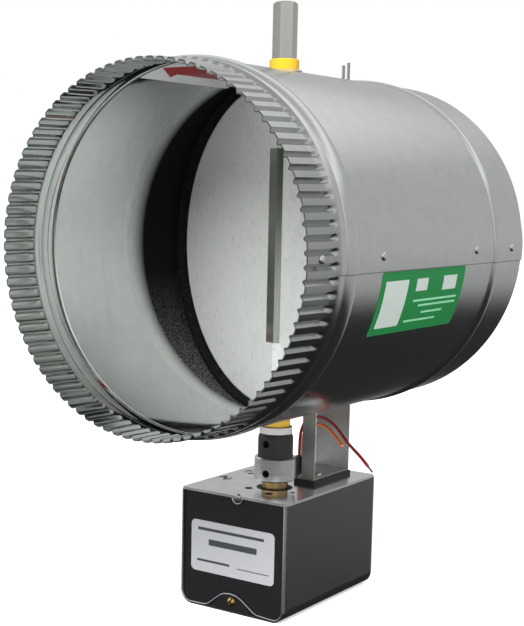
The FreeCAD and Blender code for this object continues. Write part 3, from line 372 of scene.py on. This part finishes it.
def lead(name, route, material):
    """A wire drawn as one smooth curve through its route, replacing the plain solid."""
    curve = bpy.data.curves.new(name, "CURVE")
    curve.dimensions = "3D"
    curve.bevel_depth = LEAD_RADIUS * MM
    curve.bevel_resolution = 4
    curve.use_fill_caps = True
    spline = curve.splines.new("NURBS")
    spline.points.add(len(route) - 1)
    for point, place in zip(spline.points, route):
        point.co = (*at(*place), 1.0)
    spline.order_u = 3
    spline.use_endpoint_u = True
    spline.resolution_u = 12
    wire = bpy.data.objects.new(name, curve)
    bpy.context.scene.collection.objects.link(wire)
    curve.materials.append(material)
    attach(wire, "duct")
    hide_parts(name.replace("_wire", "_lead"))


lead("red_wire", RED_ROUTE, MATERIALS["red_lead"])
lead("orange_wire", ORANGE_ROUTE, MATERIALS["orange_lead"])


# Geometry Nodes helpers

MERGE_DISTANCE = 1e-7


class Tree:
    """A Geometry Nodes tree with named inputs, built once and run on an empty mesh."""

    def __init__(self, name):
        self.group = bpy.data.node_groups.new(name, "GeometryNodeTree")
        self.group.interface.new_socket("Geometry", in_out="OUTPUT", socket_type="NodeSocketGeometry")
        self.inlet = self.group.nodes.new("NodeGroupInput")
        self.outlet = self.group.nodes.new("NodeGroupOutput")
        self.values = {}

    def input(self, name, value, kind="NodeSocketFloat"):
        socket = self.group.interface.new_socket(name, in_out="INPUT", socket_type=kind)
        self.values[socket.identifier] = value
        return self.inlet.outputs[name]

    def add(self, kind, inputs=None, **settings):
        node = self.group.nodes.new(kind)
        for key, value in settings.items():
            setattr(node, key, value)
        for key, value in (inputs or {}).items():
            self.feed(value, node.inputs[key])
        return node

    def feed(self, value, socket):
        if isinstance(value, bpy.types.NodeSocket):
            self.group.links.new(value, socket)
        else:
            socket.default_value = value

    def math(self, operation, *values):
        node = self.group.nodes.new("ShaderNodeMath")
        node.operation = operation
        for value, socket in zip(values, node.inputs):
            self.feed(value, socket)
        return node.outputs[0]

    def smooth(self, value, low, high, to_low=0.0, to_high=1.0):
        node = self.group.nodes.new("ShaderNodeMapRange")
        node.interpolation_type = "SMOOTHSTEP"
        for key, amount in (("Value", value), ("From Min", low), ("From Max", high),
                            ("To Min", to_low), ("To Max", to_high)):
            self.feed(amount, node.inputs[key])
        return node.outputs["Result"]

    def finish(self, geometry, material):
        """Realise and give the material, run the tree and return the plain mesh object."""
        real = self.add("GeometryNodeRealizeInstances", {"Geometry": geometry})
        painted = self.add("GeometryNodeSetMaterial", {"Geometry": real.outputs["Geometry"]})
        painted.inputs["Material"].default_value = material
        self.group.links.new(painted.outputs["Geometry"], self.outlet.inputs[0])
        carrier = bpy.data.objects.new(self.group.name, bpy.data.meshes.new(self.group.name))
        bpy.context.scene.collection.objects.link(carrier)
        modifier = carrier.modifiers.new("shape", "NODES")
        modifier.node_group = self.group
        for identifier, value in self.values.items():
            modifier[identifier] = value
        bpy.context.view_layer.update()
        graph = bpy.context.evaluated_depsgraph_get()
        mesh = bpy.data.meshes.new_from_object(carrier.evaluated_get(graph))
        mesh.name = self.group.name
        carrier.modifiers.clear()
        carrier.data = mesh
        return carrier


def tidy_mesh(piece, angle):
    """Merge doubles, turn the faces outwards and shade smooth below the angle."""
    work = bmesh.new()
    work.from_mesh(piece.data)
    bmesh.ops.remove_doubles(work, verts=work.verts, dist=MERGE_DISTANCE)
    bmesh.ops.recalc_face_normals(work, faces=work.faces)
    work.to_mesh(piece.data)
    work.free()
    piece.data.polygons.foreach_set("use_smooth", [True] * len(piece.data.polygons))
    piece.data.set_sharp_from_angle(angle=math.radians(angle))
    return piece


def new_piece(name, points, faces, material):
    mesh = bpy.data.meshes.new(name)
    mesh.from_pydata([tuple(p) for p in points], [], faces)
    mesh.materials.append(material)
    piece = bpy.data.objects.new(name, mesh)
    bpy.context.scene.collection.objects.link(piece)
    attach(piece, "duct")
    return piece


# Duct shell

CRIMP_DROPS = ((-254.0, 2.3), (-253.6, 2.28), (-248.0, 2.15), (-241.0, 2.0), (-234.0, 1.8), (-231.0, 1.7),
               (-229.6, 1.45), (-228.4, 0.95), (-227.5, 0.45), (-226.9, 0.12), (-226.3, 0.0),
               (-223.6, 0.0), (-221.4, 0.0))
BEADS = ((-221.0, -209.0, 1.5), (-42.8, -34.8, 1.4))
BEAD_STEPS = 12
PLAIN_RINGS = (-205.0, -180.0, -150.0, -125.0, -100.0, -75.0, -50.0, -44.0)
COLLAR_RINGS = (-33.8, -25.0, -12.0, -0.5, 0.0)
SEAM_GAP = 0.001

def shell_profile():
    """Outer and inner outline of the sheet as (distance from the rear mouth, radius), closed."""

    def bead_points(low, high, height):
        for k in range(BEAD_STEPS + 1):
            turn = math.pi * k / BEAD_STEPS
            yield low + (high - low) * (1 - math.cos(turn)) / 2, OUTER + height * math.sin(turn) ** 1.25

    front_bead, rear_bead = BEADS
    outside = [(y, OUTER - drop) for y, drop in CRIMP_DROPS]
    outside += bead_points(*front_bead)
    outside += [(y, OUTER) for y in PLAIN_RINGS]
    outside += bead_points(*rear_bead)
    outside += [(y, OUTER) for y in COLLAR_RINGS]
    inside = [(y, r - SHEET) for y, r in reversed(outside)]
    return outside + inside


def rolled_shell():
    """The outline swept round the duct's axis, with the crimps pressed in and the lap lifted."""
    tree = Tree("rolled_shell")
    count = tree.input("crimp_count", 90.0)
    depth = tree.input("crimp_depth", 1.8)
    rounds = tree.input("samples", 720, "NodeSocketInt")
    lap_low = tree.input("lap_edge", math.radians(-4.5))
    lap_rise = tree.input("lap_rise", SHEET)
    profile = bpy.data.meshes.new("shell_outline")
    outline = shell_profile()
    total = len(outline)
    profile.from_pydata([(r, y, 0.0) for y, r in outline], [(k, (k + 1) % total) for k in range(total)], [])
    holder = bpy.data.objects.new("shell_outline", profile)
    bpy.context.scene.collection.objects.link(holder)
    source = tree.add("GeometryNodeObjectInfo")
    source.inputs["Object"].default_value = holder
    # Each row of the grid is one turn step, each column one point of the outline.
    grid = tree.add("GeometryNodeMeshGrid", {"Size X": 1.0, "Size Y": 1.0, "Vertices X": rounds,
                                             "Vertices Y": total})
    index = tree.add("GeometryNodeInputIndex").outputs[0]
    row = tree.math("FLOOR", tree.math("DIVIDE", index, float(total)))
    column = tree.math("SUBTRACT", index, tree.math("MULTIPLY", row, float(total)))
    spot = tree.add("GeometryNodeSampleIndex", data_type="FLOAT_VECTOR")
    spot.domain = "POINT"
    position = tree.add("GeometryNodeInputPosition").outputs[0]
    tree.group.links.new(source.outputs["Geometry"], spot.inputs["Geometry"])
    for socket in spot.inputs:
        if socket.name == "Value" and socket.type == "VECTOR":
            tree.group.links.new(position, socket)
    tree.feed(column, spot.inputs["Index"])
    parts = tree.add("ShaderNodeSeparateXYZ")
    for socket in spot.outputs:
        if socket.type == "VECTOR":
            tree.group.links.new(socket, parts.inputs[0])
    radius, along = parts.outputs[0], parts.outputs[1]
    step = tree.math("DIVIDE", 2 * math.pi - SEAM_GAP, tree.math("SUBTRACT", rounds, 1.0))
    turn = tree.math("ADD", tree.math("MULTIPLY", row, step), lap_low)
    share = tree.math("FRACT", tree.math("DIVIDE", tree.math("MULTIPLY", turn, count), 2 * math.pi))
    fold = tree.math("ABSOLUTE", tree.math("SUBTRACT", share, 0.5))
    groove = tree.smooth(fold, 0.24, 0.05)
    zone = tree.smooth(along, -226.6, -231.0)
    sink = tree.math("MULTIPLY", tree.math("MULTIPLY", groove, zone), depth)
    fade = tree.smooth(turn, math.radians(10.0), math.radians(0.0))
    body = tree.smooth(along, -227.0, -226.0)
    lift = tree.math("MULTIPLY", tree.math("MULTIPLY", fade, body), lap_rise)
    reach = tree.math("ADD", tree.math("SUBTRACT", radius, sink), lift)
    reach = tree.math("MULTIPLY", reach, MM)
    spread = tree.add("ShaderNodeCombineXYZ", {
        "X": tree.math("MULTIPLY", reach, tree.math("COSINE", turn)),
        "Y": tree.math("MULTIPLY", along, MM),
        "Z": tree.math("MULTIPLY", reach, tree.math("SINE", turn))})
    moved = tree.add("GeometryNodeSetPosition", {"Geometry": grid.outputs["Mesh"],
                                                 "Position": spread.outputs[0]})
    shell = tree.finish(moved.outputs["Geometry"], zinc)
    bpy.data.objects.remove(holder)
    close_round(shell, total)
    return shell


def close_round(shell, total):
    """Join the last row of the swept sheet to the first, and the last column to the first."""
    work = bmesh.new()
    work.from_mesh(shell.data)
    work.verts.ensure_lookup_table()
    rows = len(work.verts) // total
    for r in range(rows):
        after = (r + 1) % rows
        columns = range(total) if after == 0 else (total - 1,)
        for c in columns:
            nxt = (c + 1) % total
            corners = [work.verts[r * total + c], work.verts[r * total + nxt],
                       work.verts[after * total + nxt], work.verts[after * total + c]]
            work.faces.new(corners)
    bmesh.ops.recalc_face_normals(work, faces=work.faces)
    for face in work.faces:
        face.smooth = True
    work.to_mesh(shell.data)
    work.free()
    shell.data.set_sharp_from_angle(angle=math.radians(35))
    inner = shell.data.attributes.new("inner_face", "FLOAT", "POINT")
    inner.data.foreach_set("value", [float(k % total >= total // 2) for k in range(rows * total)])
    shell.data.materials.clear()
    shell.data.materials.append(zinc)
    shell.data.polygons.foreach_set("material_index", [0] * len(shell.data.polygons))


shell = rolled_shell()
shell.name = "rolled_shell"
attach(shell, "duct")
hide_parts("duct_shell")


# Labels

def wrapped_patch(name, angles, along, radius, material, corner=0.0):
    """A thin patch on the cylinder between two angles (degrees) and two distances (mm)."""
    outline = []
    low, high = angles
    front, back = along
    if corner:
        turn_corner = math.degrees(corner / radius)
        left, right = low + turn_corner, high - turn_corner
        near, far = front + corner, back - corner
        for cx, cy, start in ((right, far, 0), (left, far, 90), (left, near, 180), (right, near, 270)):
            for k in range(7):
                a = math.radians(start + 15 * k)
                outline.append((cx + turn_corner * math.cos(a), cy + corner * math.sin(a)))
    else:
        outline = [(high, front), (high, back), (low, back), (low, front)]
    flat_on_duct(name, outline, radius, material)


def flat_on_duct(name, outline, radius, material, thick=0.08):
    """Cut an outline of (angle in degrees, distance) into strips and lay it on the cylinder.

    A negative thickness lays it on the inner wall, towards the axis."""
    work = bmesh.new()
    verts = [work.verts.new((a, y, 0.0)) for a, y in outline]
    work.faces.new(verts)
    low = min(a for a, y in outline)
    high = max(a for a, y in outline)
    cut = math.floor(low) + 1.0
    while cut < high:
        geometry = work.verts[:] + work.edges[:] + work.faces[:]
        bmesh.ops.bisect_plane(work, geom=geometry, plane_co=(cut, 0, 0), plane_no=(1, 0, 0))
        cut += 1.0
    bmesh.ops.triangulate(work, faces=work.faces)
    extruded = bmesh.ops.extrude_face_region(work, geom=work.faces[:])
    raised = {g for g in extruded["geom"] if isinstance(g, bmesh.types.BMVert)}
    for vert in work.verts:
        a = math.radians(vert.co.x)
        r = radius + (thick if vert in raised else 0.0)
        vert.co = at(r * math.cos(a), vert.co.y, r * math.sin(a))
    bmesh.ops.recalc_face_normals(work, faces=work.faces)
    mesh = bpy.data.meshes.new(name)
    work.to_mesh(mesh)
    work.free()
    mesh.materials.append(material)
    piece = bpy.data.objects.new(name, mesh)
    bpy.context.scene.collection.objects.link(piece)
    piece.data.polygons.foreach_set("use_smooth", [True] * len(piece.data.polygons))
    piece.data.set_sharp_from_angle(angle=math.radians(30))
    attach(piece, "duct")




def film(name, colour, rough=0.35, coat=0.3, variation=0.05, shine=0.5):
    return coated(name, colour, rough, 300.0, 0.03, coat, variation, shine)

green = film("green_label_film", (0.004, 0.135, 0.032), rough=0.42, coat=0.0, shine=0.2)
white_film = film("white_label_film", (0.27, 0.275, 0.285), variation=0.02)
grey_film = film("grey_label_field", (0.33, 0.37, 0.35))
pale_green = film("pale_green_print", (0.16, 0.42, 0.24), variation=0.02)
silver_film = film("silver_label_film", (0.50, 0.51, 0.51))
dark_print = film("dark_print", (0.03, 0.035, 0.035), rough=0.4, coat=0.2)
red_film = film("red_label_film", (0.252, 0.012, 0.017))

LABEL = OUTER + 0.05
PRINT = LABEL + 0.1
HALF_LINE = 0.35
wrapped_patch("green_label", (-24.7, -4.8), (-61.0, 40.0), LABEL, green, corner=2.0)
wrapped_patch("label_square", (-22.3, -7.6), (-56.0, -30.0), PRINT, grey_film, corner=0.6)
wrapped_patch("label_mark_front", (-11.5, -7.6), (-20.0, -6.5), PRINT, grey_film)
wrapped_patch("label_mark_rear", (-12.0, -7.4), (13.0, 30.0), PRINT, grey_film)
for k, (angle, front, back) in enumerate(((-14.6, -20.0, 34.0), (-16.3, -12.0, 34.0),
                                          (-18.7, -6.0, 20.0), (-21.2, -24.0, 14.0))):
    wrapped_patch("label_line_%d" % (k + 1), (angle - HALF_LINE, angle + HALF_LINE), (front, back),
                  PRINT, pale_green)

RED = BORE - 0.1
flat_on_duct("arrow_label_ground", [(88.0, -4.0), (112.3, -4.0), (112.3, -88.0), (88.0, -88.0)],
             RED + 0.05, silver_film, -0.05)
flat_on_duct("red_arrow_label", [(98.5, -6.0), (106.8, -6.0), (106.8, -66.0), (109.6, -66.0),
                                 (103.4, -87.0), (97.0, -66.0), (98.5, -66.0)], RED, red_film, -0.08)


def slab(name, centre, half, material, corner, thick=0.1):
    """A thin plate with rounded corners on the motor's front, facing forward."""
    outline = []
    for sx, sz, start in ((1, 1, 0), (-1, 1, 90), (-1, -1, 180), (1, -1, 270)):
        for k in range(7):
            a = math.radians(start + 15 * k)
            outline.append((sx * (half[0] - corner) + corner * math.cos(a),
                            sz * (half[1] - corner) + corner * math.sin(a)))
    points = [at(centre[0] + u, centre[1] - level, centre[2] + v)
              for level in (0.0, thick) for u, v in outline]
    count = len(outline)
    faces = [list(range(count)), list(range(count, 2 * count))]
    faces += [[k, (k + 1) % count, count + (k + 1) % count, count + k] for k in range(count)]
    tidy_mesh(new_piece(name, points, faces, material), 40.0)


FRONT = -33.85
slab("front_label", (-7.8, FRONT, -183.0), (30.2, 16.0), white_film, 3.0)
for k, (x, z, half_x, half_z) in enumerate(((-9.0, -172.2, 24.0, 0.9), (-7.5, -180.0, 17.5, 1.9),
                                            (-21.5, -192.0, 12.0, 0.7), (7.5, -193.0, 11.5, 0.25))):
    slab("label_bar_%d" % (k + 1), (x, FRONT - 0.12, z), (half_x, half_z), dark_print,
         min(half_z, 0.25) * 0.9, thick=0.05)


# Motor trim, with bright beads as painted highlights on edges and dark discs as painted shade in holes

# Bright metal for small real parts, and for beads that stand in for glints on edges.
bright_metal_and_glint = metal("bright_folded_edge", (0.62, 0.63, 0.64), 0.30, 300.0)
# Near-black paint for the shade inside holes and recesses.
dark_hole = coated("dark_hole", (0.006, 0.006, 0.006), 0.6)
TRIM_Y = -34.65
PLATE_TOP = -147.9
CORNER_X = 29.6


def arc(centre, radius, start, stop, count=8):
    """Points of an arc in the front plane, angles in degrees."""
    return [(centre[0] + radius * math.cos(math.radians(start + (stop - start) * k / count)),
             centre[1] + radius * math.sin(math.radians(start + (stop - start) * k / count)))
            for k in range(count + 1)]


def bead(name, outline, radius, closed, body="duct"):
    """A bright round bead along an outline of points, laid on an edge as a painted highlight."""
    curve = bpy.data.curves.new(name + "_path", "CURVE")
    curve.dimensions = "3D"
    curve.bevel_depth = radius * MM
    curve.bevel_resolution = 3
    curve.use_fill_caps = not closed
    spline = curve.splines.new("POLY")
    spline.points.add(len(outline) - 1)
    for point, place in zip(spline.points, outline):
        point.co = (*at(*place), 1.0)
    spline.use_cyclic_u = closed
    path = bpy.data.objects.new(name + "_path", curve)
    bpy.context.scene.collection.objects.link(path)
    bpy.context.view_layer.update()
    graph = bpy.context.evaluated_depsgraph_get()
    mesh = bpy.data.meshes.new_from_object(path.evaluated_get(graph))
    bpy.data.objects.remove(path)
    mesh.name = name
    mesh.materials.clear()
    mesh.materials.append(bright_metal_and_glint)
    piece = bpy.data.objects.new(name, mesh)
    bpy.context.scene.collection.objects.link(piece)
    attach(piece, body)
    tidy_mesh(piece, 50.0)


BOSS = (-3.9, -149.0)
BOSS_RINGS = ((0.0, 2.5), (0.7, 2.4), (1.1, 1.9), (1.3, 1.1))
BOSS_SIDES = 24
PANEL_OUTLINE = (
    [(-44.0, -148.9), (-44.0, -213.0)] + arc((-37.5, -213.0), 6.5, 180, 270)[1:]
    + [(-27.0, -219.3), (-24.0, -218.3), (-15.5, -211.3), (-12.5, -209.8), (-7.8, -209.2), (-3.2, -209.8),
       (-0.3, -211.2), (8.5, -217.4), (11.5, -218.6), (22.0, -219.3)]
    + arc((22.7, -213.0), 6.4, 275, 360)[1:] + [(29.1, -148.9)]
    + [(0.2, -148.9)] + arc(BOSS, 3.7, -10, -170, 10) + [(-8.0, -148.9)])
# Bright beads along the panel's edge and the cover's corners: painted highlights for the glints on these
# folded edges.
bead("panel_edge", [(x, TRIM_Y, z) for x, z in PANEL_OUTLINE], 0.65, True)
bead("corner_edge", [(CORNER_X, -34.2, -149.8), (CORNER_X, -34.2, -213.5)], 0.9, False)
bead("rear_corner_edge", [(CORNER_X, 71.9, -150.2), (CORNER_X, 71.9, -213.0)], 0.7, False)
DISC_FACE = 3.55
DISC_EDGE = 98.35


def on_blade(across, ahead, height):
    """A place on the blade: across its width, ahead of the shaft, and height."""
    return (across * math.cos(REST_TURN) + ahead * math.sin(REST_TURN),
            across * math.sin(REST_TURN) - ahead * math.cos(REST_TURN), height)


# A bright bead round the blade disc's edge: a painted highlight for the glint on that edge.
bead("disc_edge", [on_blade(DISC_EDGE * math.cos(math.radians(3 * k)), DISC_FACE,
                            DISC_EDGE * math.sin(math.radians(3 * k))) for k in range(120)],
     0.28, True, "blade")


def repeated_marks(name, places, radius, height, material, ring=0.0):
    """Round marks on the plate's top: discs, or rings where a wire radius is given; the dark discs are
    painted shade for holes and a recess.
    """
    tree = Tree(name)
    size_in = tree.input("mark_radius", radius * MM)
    wire_in = tree.input("wire_radius", max(ring, 0.01) * MM)
    height_in = tree.input("mark_height", height * MM)
    holder = bpy.data.objects.new(name + "_places", bpy.data.meshes.new(name + "_places"))
    holder.data.from_pydata([tuple(at(x, y, PLATE_TOP + height / 2)) for x, y in places], [], [])
    bpy.context.scene.collection.objects.link(holder)
    source = tree.add("GeometryNodeObjectInfo")
    source.inputs["Object"].default_value = holder
    if ring:
        circle = tree.add("GeometryNodeCurvePrimitiveCircle", {"Radius": size_in})
        section = tree.add("GeometryNodeCurvePrimitiveCircle", {"Radius": wire_in})
        section.inputs["Resolution"].default_value = 6
        shape = tree.add("GeometryNodeCurveToMesh", {"Curve": circle.outputs["Curve"],
                                                     "Profile Curve": section.outputs["Curve"]})
    else:
        shape = tree.add("GeometryNodeMeshCylinder", {"Radius": size_in, "Depth": height_in})
    spread = tree.add("GeometryNodeInstanceOnPoints", {"Points": source.outputs["Geometry"],
                                                       "Instance": shape.outputs["Mesh"]})
    piece = tree.finish(spread.outputs["Instances"], material)
    bpy.data.objects.remove(holder)
    piece.data.materials.clear()
    piece.data.materials.append(material)
    piece.data.polygons.foreach_set("material_index", [0] * len(piece.data.polygons))
    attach(piece, "duct")
    tidy_mesh(piece, 40.0)


# Dark discs painted as the shade inside the plate's holes and the bearing's recess.
repeated_marks("plate_holes", [(-10.7, -12.5), (7.1, -17.5)], 2.5, 0.12, dark_hole)
repeated_marks("plate_small_holes", [(-38.5, 2.4), (16.5, -5.6), (-30.0, 45.0)], 1.3, 0.12, dark_hole)
repeated_marks("plate_rings", [(-38.5, 2.4), (-35.4, 26.3)], 3.9, 0.2, bright_metal_and_glint, ring=0.3)
repeated_marks("bearing_recess", [(0.0, 0.0)], 11.2, 0.08, dark_hole)


def panel_boss():
    """The small domed boss under the notch of the panel's bead."""
    sides = BOSS_SIDES
    points, faces = [], []
    for ring, (lift, radius) in enumerate(BOSS_RINGS):
        for x, z in arc(BOSS, radius, 0, 345, sides - 1):
            points.append(at(x, TRIM_Y + 0.4 - lift, z))
        if ring:
            base = sides * (ring - 1)
            faces += [[base + k, base + (k + 1) % sides, base + sides + (k + 1) % sides,
                       base + sides + k] for k in range(sides)]
    faces += [list(range(sides)), list(range(len(points) - sides, len(points)))]
    tidy_mesh(new_piece("panel_boss", points, faces, bright_metal_and_glint), 50.0)


panel_boss()


def turned_copy(node_name, name, degrees):
    """The node's own mesh turned about the shaft, so that its screw hole faces forward."""
    mesh = nodes[node_name].data.copy()
    mesh.name = name
    turn = Matrix.Rotation(math.radians(degrees), 4, "Z")
    shift = Matrix.Translation(at(0, 0, 0))
    mesh.transform(shift @ turn @ shift.inverted())
    piece = bpy.data.objects.new(name, mesh)
    bpy.context.scene.collection.objects.link(piece)
    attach(piece, "blade")
    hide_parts(node_name)


for node_name, name, slot, degrees in (("shaft_coupler", "turned_coupler", "coupler_grey", 20.0),
                                       ("coupler_screw", "turned_coupler_screw", "screw_dark", 20.0),
                                       ("drive_collar", "turned_collar", "collar_aluminium", 27.0),
                                       ("collar_screw", "turned_collar_screw", "bearing_brass", 27.0)):
    turned_copy(node_name, name, degrees)


# Studio

REAR_SKY = [(-1.0, 0.02), (-0.34, 0.03), (-0.22, 0.43), (0.0, 0.54), (0.38, 0.54), (0.60, 1.15),
            (0.80, 0.62), (1.0, 0.55)]
FRONT_SKY = [(-1.0, 0.04), (-0.40, 0.04), (-0.16, 0.28), (0.0, 0.60), (0.30, 1.2), (0.8, 1.0)]
FLOOR_Z = -0.221
FLOOR_HALF = 6


def studio():
    """White to the camera; in reflections the world gets darker below the horizon."""
    scene = bpy.context.scene
    scene.view_settings.view_transform = "Standard"
    scene.view_settings.look = "None"
    scene.view_settings.exposure = 0.0
    scene.cycles.max_bounces = 16
    scene.cycles.glossy_bounces = 12
    world = bpy.data.worlds.new("studio")
    scene.world = world
    world.use_nodes = True
    tree = world.node_tree
    tree.nodes.clear()
    coords = tree.nodes.new("ShaderNodeTexCoord")
    split = tree.nodes.new("ShaderNodeSeparateXYZ")
    tree.links.new(coords.outputs["Generated"], split.inputs[0])

    def by_height(stops):
        """Brightness by the height of the direction, -1 straight down and 1 straight up."""
        height = tree.nodes.new("ShaderNodeMapRange")
        height.inputs["From Min"].default_value = -1.0
        tree.links.new(split.outputs["Z"], height.inputs["Value"])
        ramp = tree.nodes.new("ShaderNodeValToRGB")
        elements = ramp.color_ramp.elements
        while len(elements) < len(stops):
            elements.new(0.5)
        for element, (position, level) in zip(elements, stops):
            element.position = (position + 1.0) / 2.0
            element.color = (level, level, level, 1.0)
        tree.links.new(height.outputs["Result"], ramp.inputs["Fac"])
        return ramp.outputs["Color"]

    rear_side = by_height(REAR_SKY)
    front_side = by_height(FRONT_SKY)
    toward = tree.nodes.new("ShaderNodeMapRange")
    toward.interpolation_type = "SMOOTHSTEP"
    for key, amount in (("From Min", -0.25), ("From Max", -0.75)):
        toward.inputs[key].default_value = amount
    tree.links.new(split.outputs["Y"], toward.inputs["Value"])
    ramp = tree.nodes.new("ShaderNodeMix")
    ramp.data_type = "RGBA"
    tree.links.new(toward.outputs["Result"], ramp.inputs[0])
    tree.links.new(rear_side, ramp.inputs[6])
    tree.links.new(front_side, ramp.inputs[7])
    around = tree.nodes.new("ShaderNodeBackground")
    around.inputs["Strength"].default_value = 0.9
    tree.links.new(ramp.outputs[2], around.inputs["Color"])
    backdrop = tree.nodes.new("ShaderNodeBackground")
    backdrop.inputs["Color"].default_value = (1, 1, 1, 1)
    seen = tree.nodes.new("ShaderNodeLightPath")
    choose = tree.nodes.new("ShaderNodeMixShader")
    tree.links.new(seen.outputs["Is Camera Ray"], choose.inputs["Fac"])
    tree.links.new(around.outputs[0], choose.inputs[1])
    tree.links.new(backdrop.outputs[0], choose.inputs[2])
    output = tree.nodes.new("ShaderNodeOutputWorld")
    tree.links.new(choose.outputs[0], output.inputs["Surface"])


def softbox(name, position, target, size, power):
    """A square area light that shows in no reflection."""
    data = bpy.data.lights.new(name, "AREA")
    data.shape = "SQUARE"
    data.size = size
    data.energy = power
    light = bpy.data.objects.new(name, data)
    bpy.context.scene.collection.objects.link(light)
    light.location = position
    direction = Vector(target) - Vector(position)
    light.rotation_euler = direction.to_track_quat("-Z", "Y").to_euler()
    light.visible_glossy = False


def pale_floor():
    """A plain pale floor just under the motor, which glows a little so that it stays white."""
    half, low = FLOOR_HALF, FLOOR_Z
    mesh = bpy.data.meshes.new("floor")
    mesh.from_pydata([(-half, -half, low), (half, -half, low), (half, half, low), (-half, half, low)],
                     [], [(0, 1, 2, 3)])
    floor = bpy.data.objects.new("floor", mesh)
    bpy.context.scene.collection.objects.link(floor)
    shader = Shader("pale_floor")
    shader.put("Base Color", (0.95, 0.95, 0.95, 1))
    shader.put("Roughness", 0.9)
    shader.put("Emission Color", (1, 1, 1, 1))
    shader.put("Emission Strength", 0.5)
    mesh.materials.append(shader.material)
    floor.visible_glossy = False


studio()
softbox("top_softbox", (0.1, -0.2, 1.5), (0, -0.12, 0), 1.2, 6.0)
softbox("front_right_softbox", (0.48, -1.42, 0.95), (-0.03, -0.15, -0.03), 0.8, 52.0)
pale_floor()
